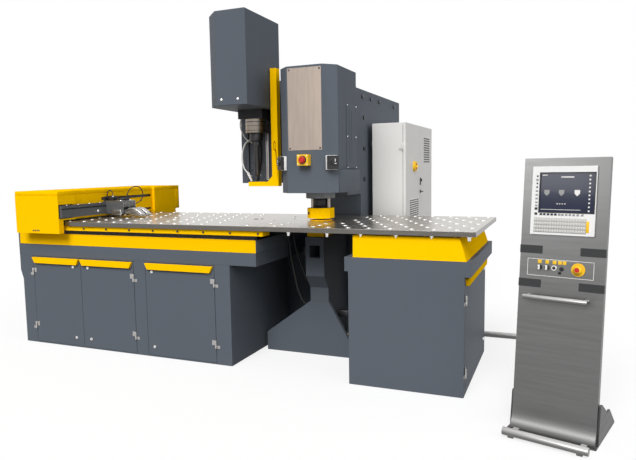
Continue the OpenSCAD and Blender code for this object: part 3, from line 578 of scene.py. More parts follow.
@dataclass
class Studio:
    """Camera, floor and soft light; lengths in metres, angles in degrees."""

    eye: Triple = (1.783, -4.381, 1.482)
    lens: float = 33.877
    yaw: float = 22.45
    pitch: float = 5.79
    roll: float = -0.91
    floor_size: float = 30.0
    floor_drop: float = 0.001
    ambient: float = 0.38
    key: float = 2.88
    key_way: Triple = (-0.02, 0.75, -0.66)
    fill: float = 1.0
    fill_way: Triple = (-0.9, 0.3, -0.3)
    board: float = 17.0
    board_size: Pair = (1.1, 0.7)
    board_spot: Triple = (0.25, -2.95, 2.07)
    board_aim: Triple = (1.6, -0.9, 1.5)

    def camera(self) -> None:
        """Sets the camera where the photograph was taken from."""
        yaw, pitch, roll = (math.radians(a) for a in (self.yaw, self.pitch, self.roll))
        ahead = Vector((-math.sin(yaw) * math.cos(pitch), math.cos(yaw) * math.cos(pitch), -math.sin(pitch)))
        right = Vector((math.cos(yaw), math.sin(yaw), 0.0))
        up = right.cross(ahead)
        right, up = right * math.cos(roll) + up * math.sin(roll), up * math.cos(roll) - right * math.sin(roll)
        data = bpy.data.cameras.new("photo_camera")
        data.sensor_width = 36.0
        data.lens = self.lens
        item = bpy.data.objects.new("photo_camera", data)
        item.matrix_world = Matrix((right, up, -ahead)).transposed().to_4x4()
        item.location = self.eye
        bpy.context.scene.collection.objects.link(item)
        bpy.context.scene.camera = item

    def seen(self, tree: Tree) -> Socket:
        """Gives 1 for rays that show the background: camera, glossy and transmission rays."""
        path = tree.node("ShaderNodeLightPath")
        shown = tree.math("MAXIMUM", path.outputs["Is Camera Ray"], path.outputs["Is Glossy Ray"])
        return tree.math("MAXIMUM", shown, path.outputs["Is Transmission Ray"])

    def light(self) -> None:
        """Sets a grey sky that shows white, a key from the front, a fill from the right and the reflector."""
        scene = bpy.context.scene
        scene.view_settings.view_transform = "Standard"
        world = bpy.data.worlds.new("studio")
        world.use_nodes = True
        scene.world = world
        tree = Tree(world.node_tree)
        world.node_tree.nodes.clear()
        dim = tree.node("ShaderNodeBackground", {"Color": WHITE, "Strength": self.ambient})
        white = tree.node("ShaderNodeBackground", {"Color": WHITE, "Strength": 1.0})
        mix = tree.node("ShaderNodeMixShader", {0: self.seen(tree), 1: dim.outputs[0], 2: white.outputs[0]})
        tree.node("ShaderNodeOutputWorld", {"Surface": mix.outputs[0]})
        self.lamp("key", "SUN", self.key, self.key_way).data.angle = 0.6
        self.lamp("fill", "SUN", self.fill, self.fill_way).data.angle = 1.0
        self.reflector()

    def lamp(self, name: str, kind: str, energy: float, way: Triple) -> bpy.types.Object:
        """Adds a lamp.

        Args:
            name: its name.
            kind: Blender's name for its kind.
            energy: its strength.
            way: the way that it shines.
        Returns:
            The lamp's object.
        """
        data = bpy.data.lights.new(name, kind)
        data.energy = energy
        item = bpy.data.objects.new(name, data)
        item.rotation_mode = "QUATERNION"
        item.rotation_quaternion = Vector(way).to_track_quat("-Z", "Y")
        bpy.context.scene.collection.objects.link(item)
        return item

    def reflector(self) -> None:
        """Hangs a pale board in front of the machine that shows only in reflections."""
        way = Vector(self.board_aim) - Vector(self.board_spot)
        item = self.lamp("reflector", "AREA", self.board, way)
        item.data.shape = "RECTANGLE"
        item.data.size, item.data.size_y = self.board_size
        item.location = self.board_spot
        item.visible_diffuse = False
        item.visible_camera = False

    def floor(self) -> None:
        """Lays a pale floor that shows white and keeps the machine's shadow."""
        part = bmesh.new()
        bmesh.ops.create_grid(part, x_segments=1, y_segments=1, size=self.floor_size)
        mesh = bpy.data.meshes.new("studio_floor")
        part.to_mesh(mesh)
        part.free()
        item = bpy.data.objects.new("studio_floor", mesh)
        item.location = (0.0, 0.0, -self.floor_drop)
        bpy.context.scene.collection.objects.link(item)
        paint = bpy.data.materials.new("floor_white")
        paint.use_nodes = True
        tree = Tree(paint.node_tree)
        paint.node_tree.nodes.clear()
        seen = self.seen(tree)
        matt = tree.node("ShaderNodeBsdfDiffuse", {"Color": tree.math("MULTIPLY_ADD", seen, 0.7, 0.25)})
        glow = tree.node("ShaderNodeEmission", {"Color": WHITE, "Strength": 1.0})
        share = tree.math("MULTIPLY", seen, 0.74)
        mix = tree.node("ShaderNodeMixShader", {0: share, 1: matt.outputs[0], 2: glow.outputs[0]})
        tree.node("ShaderNodeOutputMaterial", {"Surface": mix.outputs[0]})
        mesh.materials.append(paint)


@dataclass
class PunchFrame(Assembly):
    """C-shaped frame, punching head, tools, power unit and the oil hoses; sizes in millimetres."""

    head_cham: float = 85.0
    switch_rise: float = 174.0
    arm_half: float = 78.0
    rod_spot: float = 67.0
    rod_radius: float = 12.0
    sleeve_low: float = 1180.5
    sleeve_high: float = 1255.5
    bulge_high: float = 170.0
    bulge_plan: tuple[Pair, ...] = (
        (0.5, -196), (14.6, -151), (24.8, -101), (31, -41), (31, 213.5), (0.5, 213.5),
    )
    tank_low: Triple = (-660.0, 640.0, 0.0)
    tank_high: Triple = (-149.0, 1417.0, 900.0)

    def dress(self) -> None:
        """Dresses the frame, head and tools."""
        self.coat(BLUE_GREY, "c_frame", "lower_arm", "base_plate", "head_cover", "side_covers", edge=3.0)
        self.coat(YELLOW, "die_holder", "stripper", edge=2.5)
        self.coat(QUILL_STEEL, "die", edge=1.0)
        self.coat(NAME_PLATE, "name_plate", edge=0.8)
        self.coat(BLACK_OXIDE, "frame_bolts", edge=1.5)
        self.coat(COLLAR_BLACK, "guide_flanges", "punch_ram", edge=1.5)
        self.coat(YELLOW_PLASTIC, "stop_box", edge=4.0)
        self.coat(BLACK_PLASTIC, "switch_boxes", edge=3.0)
        self.coat(RED, "head_stop", edge=3.0)

    def build(self) -> None:
        """Builds the hoses, then the fittings of the head, the tools, the arm and the power unit."""
        self.hoses()
        self.head_fittings()
        self.switch_trim()
        self.panel_screws()
        self.tool_fittings()
        self.bulges()
        self.valve_block()
        self.drain()
        self.tank()
        self.pump()

    def hoses(self) -> None:
        """Adds the two black oil hoses that hang from the table to the lower arm."""
        end = -self.arm_half
        for name, diameter, knots in (
            (
                "oil_hose_front", 24,
                ((-290, 10, 1040), (-290, 10, 1000), (-286, 5, 900), (-268, 0, 780), (-240, 0, 640),
                 (-212, 10, 500), (-170, 25, 404), (-122, 36, 366), (end, 40, 360)),
            ),
            (
                "oil_hose_back", 20,
                ((-262, 40, 1040), (-262, 40, 1000), (-258, 44, 920), (-240, 50, 820), (-210, 58, 720),
                 (-172, 64, 620), (-128, 68, 548), (end, 70, 520)),
            ),
        ):
            Hose(name, diameter, knots, steps=4).build()

    def head_fittings(self) -> None:
        """Adds the screws of the bare front plate and of the stop box, and the stop's dark collar."""
        low, high = extent("name_plate")
        spots = product((low.x + 14, high.x - 14), (low.y,), (low.z + 14, high.z - 14))
        Shape().domes(spots, FRONT, 7.0, 4.0).piece("plate_screws", BLACK_OXIDE)
        low, high = extent("stop_box")
        middle = (low.z + high.z + 1) / 2
        Shape().ring((0, low.y, middle), FRONT, 14.5, 31.0, 4.5).piece("head_stop_collar", BLACK_PLASTIC)
        spots = product((low.x + 8, high.x - 8), (low.y,), (low.z + 9, high.z - 9))
        Shape().domes(spots, FRONT, 4.0, 2.0).piece("stop_box_screws", CHROME)

    def switch_trim(self) -> None:
        """Adds the pale back shells, rings and dial marks of the two switch boxes."""
        low, high = extent("head_cover")
        middle = self.head_cham / 2
        for side, name in SIDES:
            spot = (side * (high.x - middle), low.y + middle, low.z + self.switch_rise)
            place = Matrix.Translation(spot) @ Matrix.Rotation(side * math.radians(45), 4, "Z")
            Shape(place).box((-45, -22, -3), (45, -1, 103), 3.0).piece(f"switch_shell_{name}", WHITE_PLASTIC)
            marks = Shape(place).box((4, -62, 54), (9, -59.5, 76), 0.8)
            marks.box((2, -62, 40), (16, -59.5, 45), 0.8).piece(f"switch_marks_{name}", WHITE_PLASTIC)
            Shape(place).ring((0, -46, 56), FRONT, 22.2, 29.0, 4.0).piece(f"switch_ring_{name}", BLACK_OXIDE)

    def panel_screws(self) -> None:
        """Adds the screws of the panel on the right of the head."""
        spots = product((extent("head_cover")[1].x + 6,), (-14, 191), (1492, 1730, 1967))
        Shape().domes(spots, RIGHT, 6.0, 3.5).piece("side_panel_screws", CHROME)

    def tool_fittings(self) -> None:
        """Adds the sleeves of the stripper's rods, its corner bolts and the rings round the tools."""
        shape = Shape()
        for x in (-self.rod_spot, self.rod_spot):
            shape.ring(
                (x, 0, self.sleeve_low), UP, self.rod_radius + 0.2, self.rod_radius + 2.6,
                self.sleeve_high - self.sleeve_low, 20,
            )
        shape.piece("rod_sleeves", QUILL_STEEL, Body.STRIPPER)
        shape = Shape()
        for y in (-72, 72):
            start = Vector((-72, y, 1140))
            way = Vector((start.x, y, 0)).normalized()
            shape.rod(start - way, start + way * 7, 11, sides=6, round_off=1.2)
        shape.piece("stripper_bolts", BLACK_OXIDE, Body.STRIPPER)
        Shape().ring((0, 0, 1258), UP, 113.2, 116, 46, 48).piece("flange_ring", GRIP_GREY)
        Shape().ring((0, 0, 1175), UP, 25.3, 50, 19.8, 40).piece("punch_sleeve", COLLAR_BLACK, Body.RAM)
        Shape().ring((0, 0, 1080.2), UP, 66.5, 88, 5.5, 48).piece("die_ring", YELLOW)

    def bulges(self) -> None:
        """Adds the rounded covers low on both sides of the head."""
        low, high = extent("head_cover")
        for side, name in SIDES:
            outline = [(side * (high.x + out), y, low.z + 0.2) for out, y in self.bulge_plan]
            bulge = Shape().prism(outline, (0, 0, self.bulge_high), 9.0)
            bulge.piece(f"head_bulge_{name}", BLUE_GREY, crease=60)

    def valve_block(self) -> None:
        """Adds the valve block on the left of the lower arm and its bright fittings."""
        left = -self.arm_half - 0.2
        block = Shape().box((left - 62, 20, 770), (left, 110, 880), 4.0)
        block.box((left - 100, 38, 792), (left - 62, 92, 858), 6.0).piece("valve_block_arm", BLACK_PLASTIC)
        shape = Shape()
        for y in (44, 84):
            shape.rod((left - 31, y, 878), (left - 31, y, 902), 11, sides=6, round_off=1.5)
            shape.rod((left - 31, y, 900), (left - 31, y, 920), 8, round_off=1.5)
        shape.domes(product((left - 62,), (34, 96), (784, 866)), LEFT, 6, 4, 12)
        for y, z in ((40, 360), (70, 520)):
            shape.rod((left + 1, y, z), (left - 16, y, z), 17, sides=6, round_off=1.5)
        shape.piece("arm_fittings", CHROME)

    def drain(self) -> None:
        """Adds the drain valve and its brass elbow on the right of the lower arm."""
        right = self.arm_half + 0.2
        shape = Shape().box((100, 80, 290), (190, 140, 345), 6.0)
        shape.rod((right, 110, 318), (102, 110, 318), 14, round_off=1.5)
        shape.rod((165, 110, 150), (165, 110, 292), 8).piece("drain_valve", BLACK_OXIDE)
        shape = Shape().rod((165, 110, 112), (165, 110, 152), 14, sides=6, round_off=1.5)
        shape.rod((165, 110, 126), (right, 110, 126), 10, round_off=1.5)
        shape.rod((104, 110, 126), (88, 110, 126), 15, sides=6, round_off=1.5).piece("drain_elbow", BRASS)

    def tank(self) -> None:
        """Adds the lid, bolts and filler cap of the power unit's tank."""
        low, high = Vector(self.tank_low), Vector(self.tank_high)
        lid = Shape().box((low.x + 12, low.y + 14, high.z + 0.2), (high.x - 4, high.y - 14, high.z + 10), 2.0)
        lid.piece("tank_lid", DEEP_GREY)
        shape = Shape()
        for x in (low.x + 30, high.x - 24):
            for k in range(5):
                y = low.y + 34 + (high.y - low.y - 68) * k / 4
                shape.rod((x, y, high.z + 9.5), (x, y, high.z + 17), 9, sides=6, round_off=1.0)
        shape.rod((-560, 1300, high.z + 10), (-560, 1300, high.z + 40), 34, round_off=4)
        shape.piece("tank_bolts", CHROME)

    def pump(self) -> None:
        """Adds the ribbed pump motor on the tank, and the tank's side grille and sight glass."""
        axis = Vector((-400, 0, self.tank_high[2] + 76))
        shape = Shape()
        for near, far, radius, round_off in ((820, 1090, 62, 6), (780, 822, 48, 8)):
            ends = (axis + Vector((0, y, 0)) for y in (near, far))
            shape.rod(*ends, radius, sides=32, round_off=round_off)
        shape.box((-452, 850, axis.z - 67), (-348, 1060, axis.z - 46), 4.0)
        for k in range(12):
            a = math.tau * k / 12
            spot = axis + Vector((60 * math.cos(a), 830, 60 * math.sin(a)))
            shape.rod(spot, spot + Vector((0, 240, 0)), 4, sides=8)
        shape.piece("pump_motor", BLUE_GREY)
        face = self.tank_low[0]
        shape = Shape()
        for z in range(180, 450, 30):
            shape.box((face - 1.5, 780, z), (face + 0.5, 1100, z + 12), 0.5)
        shape.box((face - 10, 1190, 520), (face + 0.5, 1222, 760), 4.0).piece("tank_grille", BLACK_PLASTIC)


@dataclass
class DrillUnit(Assembly):
    """Drilling unit left of the punch, with its presser bar and coolant hoses; sizes in millimetres."""

    axis_x: float = -556.0
    back_face: float = 111.0
    quill_radius: float = 88.0
    screw_circle: float = 72.0

    def dress(self) -> None:
        """Dresses the drill's solids."""
        self.coat(BLUE_GREY, "drill_housing", "drill_bracket", edge=4.0)
        self.coat(PLATE_DARK, "drill_back_plate", edge=1.5)
        self.coat(QUILL_STEEL, "drill_quill", edge=2.0)
        self.coat(BLACK_OXIDE, "drill_spindle", edge=1.5)
        self.coat(YELLOW, "presser", edge=2.5)

    def build(self) -> None:
        """Builds the hoses, then the fittings of the housing, the quill and the back plate."""
        self.hoses()
        self.nozzles()
        self.quill_fittings()
        spots = product((-607, -467), (extent("drill_housing")[0].y,), (2010,))
        Shape().domes(spots, FRONT, 11.0, 7.0).piece("housing_screws", CHROME)
        back = self.back_face
        shape = Shape()
        for x, z in ((-662, 1546), (-576, 1553), (-663, 1485), (-578, 1487)):
            shape.rod((x, back + 1, z), (x, back - 3, z), 8, sides=16, round_off=0.8)
        shape.piece("back_plate_bolts", BLACK_OXIDE)
        Shape().box((-521, back - 22.4, 1400), (-497, back, 2190), 1.5).piece("rail_cover", PIPE_STEEL)
        face = extent("presser")[0].y
        shape = Shape()
        for z in (1716, 1658):
            shape.rod((-336, face + 2, z), (-336, face + 14, z), 7.6, sides=16, round_off=1.0)
        shape.piece("presser_bolts", BLACK_PLASTIC, Body.PRESSER)

    def quill_fittings(self) -> None:
        """Adds the quill's dark rings and screws and the spindle's nut."""
        x, quill = self.axis_x, extent("drill_quill")[0].z
        shape = Shape()
        for z, height in ((84, 6), (54, 3), (16, 4)):
            shape.ring((x, 0, quill + z), UP, self.quill_radius - 3, self.quill_radius + 0.8, height, 48)
        shape.piece("quill_grooves", BLACK_OXIDE, Body.QUILL)
        nut = Shape().rod((x, 0, quill - 100), (x, 0, quill - 63.5), 26, sides=6, round_off=2)
        nut.ring((x, 0, quill - 39), UP, 50, 57.5, 12, 36).piece("spindle_nut", BLACK_OXIDE, Body.SPINDLE)
        turns = [math.tau * k / 8 for k in range(8)]
        reach = self.screw_circle
        spots = [(x + reach * math.cos(a), reach * math.sin(a), quill) for a in turns]
        Shape().domes(spots, (0, 0, -1), 7, 5).piece("quill_screws", BLACK_OXIDE, Body.QUILL)

    def hoses(self) -> None:
        """Adds the pale and black coolant hoses beside the quill."""
        back = self.back_face
        for name, diameter, finish, knots in (
            (
                "sensor_cable", 10, WHITE_PLASTIC,
                ((-664, 20, 1922), (-692, 22, 1917), (-718, 28, 1888), (-726, 38, 1838), (-714, 54, 1782),
                 (-690, 78, 1738), (-658, back, 1712)),
            ),
            (
                "coolant_hose", 14, WHITE_PLASTIC,
                ((-640, back, 1742), (-664, 88, 1738), (-702, 72, 1706), (-724, 64, 1650), (-730, 60, 1590),
                 (-724, 60, 1532), (-704, 62, 1486), (-678, 64, 1460)),
            ),
            (
                "oil_hose", 14, RUBBER,
                ((-600, back, 1742), (-590, 102, 1722), (-578, 101, 1690), (-574, 101, 1640),
                 (-578, 101, 1570), (-590, 101, 1500), (-606, 97, 1450), (-616, 90, 1410)),
            ),
        ):
            Hose(name, diameter, knots, finish).build()

    def nozzles(self) -> None:
        """Adds the nozzles at the ends of the coolant and oil hoses, with their holders."""
        nozzle = Shape().rod((-680, 64, 1463), (-646, 64, 1392), 13, 9, round_off=2)
        nozzle.rod((-665, 64, 1434), (-665, self.back_face, 1434), 7, round_off=1)
        nozzle.piece("coolant_nozzle", WHITE_PLASTIC)
        nozzle = Shape().rod((-615, 91, 1414), (-620, 84, 1378), 10, 6, round_off=1.5)
        nozzle.box((-632, 78, 1404), (-602, self.back_face, 1422), 2).piece("oil_nozzle", BLACK_OXIDE)


@dataclass
class Table(Assembly):
    """Table plates with their ball units; sizes in millimetres."""

    top: float = 1080.0
    under: float = 1046.0
    ball_radius: float = 14.0
    ring_radius: float = 20.0
    row_front: float = -530.0
    row_back: float = 500.0
    grids: tuple[tuple[float, float, int, int], ...] = (
        (230, 1260, 7, 8), (-1290, -670, 5, 7), (-410, -230, 1, 6), (-2110, -1330, 5, 7),
    )
    cup_front: float = -560.0
    cup_spots: tuple[float, ...] = (-22, 272, 517, 761, 997, 1232)

    def dress(self) -> None:
        """Dresses the plates."""
        self.coat(GROUND_STEEL, "left_plate", "mid_plate", "right_plate", edge=2.0)

    def spots(self) -> list[Pair]:
        """Gives the places of the ball units, as in the solids."""
        places = list(product((-150, 150), (-520, -400, -280)))
        for x0, x1, columns, rows in self.grids:
            for i, j in product(range(columns), range(rows)):
                x = x0 + (x1 - x0) * (i + 0.5 * (j % 2) + 0.25) / columns
                places.append((x, self.row_front + (self.row_back - self.row_front) * j / (rows - 1)))
        return places

    def build(self) -> None:
        """Builds the ball units and the cups seen under the front edge."""
        spots = self.spots()
        balls = Shape().domes([(x, y, self.top + 1) for x, y in spots], UP, self.ball_radius, 5.0, 12)
        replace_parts(balls.piece("ball_tops", BALL_STEEL, crease=60), "ball_units")
        rings = Shape()
        for x, y in spots:
            rings.ring((x, y, self.top), UP, self.ball_radius + 0.6, self.ring_radius, 1.6, 14)
        rings.piece("ball_rings", BALL_STEEL)
        cups = Shape()
        for x in self.cup_spots:
            end = (x, self.cup_front, self.under)
            cups.rod((x, self.cup_front, self.under - 30), end, 12, sides=18, round_off=3)
            cups.rod((x, self.cup_front, self.under - 8), end, 17, sides=18, round_off=2)
        cups.piece("ball_cups", CHROME)


@dataclass
class Stand(Assembly):
    """What both stands' doors have; sizes in millimetres, along the door, out of it (negative) and up."""

    hinge_heights: Pair = (150.0, 626.0)
    hinge_out: float = -7.5
    hinge_long: float = 40.0
    leaf: float = 35.0
    knuckle_spin: float = 0.0

    def hinges(self, body: Body, place: Matrix, line: float, side: int, screws: bool) -> None:
        """Adds a door's two bright hinge halves over its knuckles.

        Args:
            body: the door.
            place: frame of the door's face.
            line: the hinge line, along the face.
            side: 1 where the door lies after the hinge line, -1 where it lies before it.
            screws: whether screw heads show on the leaves.
        """
        shape = Shape(place)
        near, far = sorted((line, line + side * self.leaf))
        for z in self.hinge_heights:
            top = z + self.hinge_long
            knuckle = (line, self.hinge_out, z + 0.2)
            end = (line, self.hinge_out, top)
            shape.rod(knuckle, end, 7.8, sides=18, round_off=1, spin=self.knuckle_spin)
            shape.box((near, -4.2, z + 0.2), (far, -0.2, top), 1.0)
            if screws:
                shape.domes([(line + side * 23, -4.2, z + dz) for dz in (11, 29)], FRONT, 4, 2, 10)
        shape.piece(f"{body.value}_hinges", PIPE_STEEL, body)

    def locks(self, body: Body, place: Matrix, along: float, heights: Pair) -> None:
        """Adds a door's two round locks.

        Args:
            body: the door.
            place: frame of the door's face.
            along: place of the locks along the face.
            heights: their heights.
        """
        profile = ((13.0, 0.0), (13.0, 3.0), (11.5, 5.5), (9.0, 5.5), (8.2, 4.5), (0.0, 4.5))
        shape = Shape(place)
        for z in heights:
            shape.turned(profile, (along, 0, z), FRONT)
            shape.box((along - 1.8, -7.5, z - 7), (along + 1.8, -4, z + 7), 0.6)
        shape.piece(f"{body.value}_locks", CHROME, body)


@dataclass
class LeftStand(Stand):
    """Left stand with three doors; sizes in millimetres."""

    face: float = -543.0
    strip_face: float = -579.0
    band_low: float = 876.0
    band_high: float = 972.0
    clip_first: float = -257.0
    clip_height: float = 1026.0
    clip_pitch: float = 231.0
    clips: int = 10
    lock_heights: Pair = (84.0, 692.0)
    doors: tuple[tuple[Body, float, int, float], ...] = (
        (Body.LEFT_DOOR_1, -2500.5, 1, -2050.0), (Body.LEFT_DOOR_2, -1418.5, -1, -1890.0),
        (Body.LEFT_DOOR_3, -661.5, -1, -1237.0),
    )

    def dress(self) -> None:
        """Dresses the stand's solids."""
        self.coat(BLUE_GREY, "left_cabinet", "left_ledge", "door_1", "door_2", "door_3", edge=2.0)
        self.coat(YELLOW, "left_fascia", "pull_1", "pull_2", "pull_3", edge=2.0)
        self.coat(PIPE_STEEL, "hinge_pins", edge=0.8)

    def build(self) -> None:
        """Builds the strip's bolts, the band's dark end and the doors' hinges and locks."""
        shape = Shape()
        for k in range(self.clips):
            spot = Vector((self.clip_first - self.clip_pitch * k, self.strip_face, self.clip_height))
            shape.rod(spot + Vector((0, 1, 0)), spot - Vector((0, 8, 0)), 7.5, sides=14, round_off=1.5)
        shape.piece("strip_bolts", BLACK_OXIDE)
        end = extent("left_ledge")[1]
        low, high = (end.x + 0.2, self.face + 1, self.band_low), (end.x + 3, end.y, self.band_high)
        Shape().box(low, high, 0.8).piece("stand_end_cover", BLUE_GREY)
        place = Matrix.Translation((0, self.face, 0))
        for body, line, side, lock in self.doors:
            self.hinges(body, place, line, side, True)
            self.locks(body, place, lock, self.lock_heights)


@dataclass
class RightStand(Stand):
    """Right stand with its side door; sizes in millimetres."""

    face: float = 1211.0
    knuckle_spin: float = -90.0
    hinge_y: float = -564.5
    lock_y: float = 389.0
    lock_heights: Pair = (128.0, 690.0)

    def dress(self) -> None:
        """Dresses the stand's solids."""
        self.coat(BLUE_GREY, "right_cabinet", "right_door", edge=2.0)
        self.coat(YELLOW, "right_skirt", "right_pull", edge=2.0)

    def build(self) -> None:
        """Builds the door's hinges and locks."""
        place = Matrix.Translation((self.face, 0, 0)) @ Matrix.Rotation(math.radians(90), 4, "Z")
        self.hinges(Body.SIDE_DOOR, place, self.hinge_y, 1, False)
        self.locks(Body.SIDE_DOOR, place, self.lock_y, self.lock_heights)


@dataclass
class FeedBeam(Assembly):
    """Feed beam with the gripper carriage; sizes in millimetres."""

    front: float = -656.0
    face: float = -2090.0
    front_box: float = 186.0
    rear_box: float = 600.0
    box_end: float = 1019.0
    cover_rise: float = 34.0
    block_face: float = -1860.0
    block_top: float = 1225.0
    bar_face: float = -2045.0
    bar_top: float = 1216.0
    pin_x: float = -1886.0
    pin_z: float = 1135.0
    jaw_wide: float = 52.0
    jaw_rise: tuple[Pair, ...] = (
        (40, 17), (66, 29), (106, 33), (148, 24), (188, 0), (218, -31), (122, 12.5),
    )
    jaws: tuple[tuple[str, Body, float], ...] = (
        ("front", Body.JAW_FRONT, -92.0), ("back", Body.JAW_BACK, -12.0),
    )

    def dress(self) -> None:
        """Dresses the beam's and gripper's solids."""
        self.coat(YELLOW, "feed_beam", edge=3.0)
        self.coat(DEEP_GREY, "beam_core", edge=2.0)
        self.coat(GRIP_GREY, "gripper", edge=2.5)
        self.coat(JAW_STEEL, "jaw_front", "jaw_back", edge=3.0)

    def build(self) -> None:
        """Builds the hoses, then the beam's cover and the black sheets of painted shade behind its slot
        openings, the gripper's fittings and the fingers' tops.
        """
        self.hoses()
        self.cover()
        back, liner = self.face - 9.6, self.face - 8
        # black sheets just behind the slot openings: painted shade for the dark inside of the beam
        slot_shade = Shape().box((back, -120, 1237), (liner, 578, 1261), 0.5)
        slot_shade.box((back, 202, 1111), (liner, 578, 1129), 0.5)
        slot_shade.piece("slot_shade_sheets", BLACK_PLASTIC, Body.BEAM)
        spots = [(-2350 + 20 * k, self.front, 1008) for k in range(4)]
        Shape().domes(spots, FRONT, 8.0, 1.5, 12).piece("end_plugs", BLACK_PLASTIC, Body.BEAM)
        self.gripper_block()
        self.gripper_fittings()
        for name, body, y in self.jaws:
            outline = [(self.pin_x + dx, y, self.pin_z + dz) for dx, dz in self.jaw_rise]
            Shape().prism(outline, (0, self.jaw_wide, 0), 5.0).piece(f"jaw_cap_{name}", JAW_STEEL, body, 50)

    def cover(self) -> None:
        """Adds the folded cover on top of the beam and the cap on its far end."""
        low, high = extent("feed_beam")
        waist = self.front + self.front_box
        outline = (
            (low.x, low.y), (high.x, low.y), (high.x, waist), (self.face, waist), (self.face, self.rear_box),
            (high.x, self.rear_box), (high.x, self.box_end), (low.x, self.box_end),
        )
        shape = Shape().prism([(x, y, high.z + 0.2) for x, y in outline], (0, 0, self.cover_rise), 5.0)
        shape.box((low.x, high.y + 0.2, 1094), (high.x, self.box_end, high.z + 0.2), 5.0)
        shape.piece("beam_cover", YELLOW, Body.BEAM)

    def gripper_block(self) -> None:
        """Adds a black strip of painted shade for the bar's groove, and the valves, top plate and fins of the
        gripper block.
        """
        top, face = self.block_top, self.block_face
        # black strip on the bar's face: painted shade standing for the groove's dark inside
        dark = Shape().box((self.bar_face - 0.5, -640, 1180), (self.bar_face + 0.6, -113, 1192))
        dark.box((-2040, -90, top), (-1985, -30, 1262), 4).box((-1960, -60, top), (-1890, 20, 1250), 4)
        dark.box((-2072.6, -106, top + 1), (-2062, 54, 1268), 2)
        dark.piece("valve_block", BLACK_PLASTIC, Body.GRIPPER)
        bright = Shape().box((-2058, -108, top + 0.2), (face - 2, 56, top + 5), 1.2)
        for y in range(-104, 67, 19):
            bright.box((face - 1, y, 1176), (face + 4, y + 5, 1221), 1.0)
        bright.box((-1992, -126, 1100), (-1874, -112.3, 1150), 6, 3)
        bright.piece("gripper_fins", JAW_STEEL, Body.GRIPPER)

    def gripper_fittings(self) -> None:
        """Adds the bolts of the gripper's bar and block and the hose fittings."""
        top = self.block_top
        shape = Shape().domes([(self.face + 24, y, self.bar_top) for y in (-560, -430, -300, -170)], UP, 9, 6)
        shape.domes([(self.bar_face, -217, 1146)], RIGHT, 13, 7)
        for x, y, z, high in ((-2076, -60, 1256, 12), (-2012, -60, 1262, 12), (-1930, 30, top, 24)):
            shape.rod((x, y, z), (x, y, z + high * 0.55), 9, sides=6, round_off=1)
            shape.rod((x, y, z + high * 0.5), (x, y, z + high), 6.5, sides=16, round_off=1)
        shape.rod((-1930, 59, 1190), (-1930, 84, 1190), 9, sides=6, round_off=1)
        shape.domes(product((-1900,), (-90, 40), (top + 5,)), UP, 9, 6)
        shape.piece("gripper_fittings", CHROME, Body.GRIPPER)

    def hoses(self) -> None:
        """Adds the two air hose loops of the gripper."""
        Hose(
            "air_hose_small", 7.5,
            ((-2076, -60, 1264), (-2076, -60, 1286), (-2066, -60, 1311), (-2044, -60, 1322),
             (-2022, -60, 1311), (-2012, -60, 1290), (-2012, -60, 1270)),
            body=Body.GRIPPER,
        ).build()
        Hose(
            "air_hose_large", 9,
            ((-1930, 30, 1249), (-1931, 40, 1288), (-1940, 100, 1334), (-1950, 180, 1350),
             (-1956, 252, 1334), (-1958, 290, 1284), (-1954, 270, 1232), (-1944, 210, 1202),
             (-1934, 140, 1192), (-1930, 84, 1190)),
            body=Body.GRIPPER, steps=4,
        ).build()


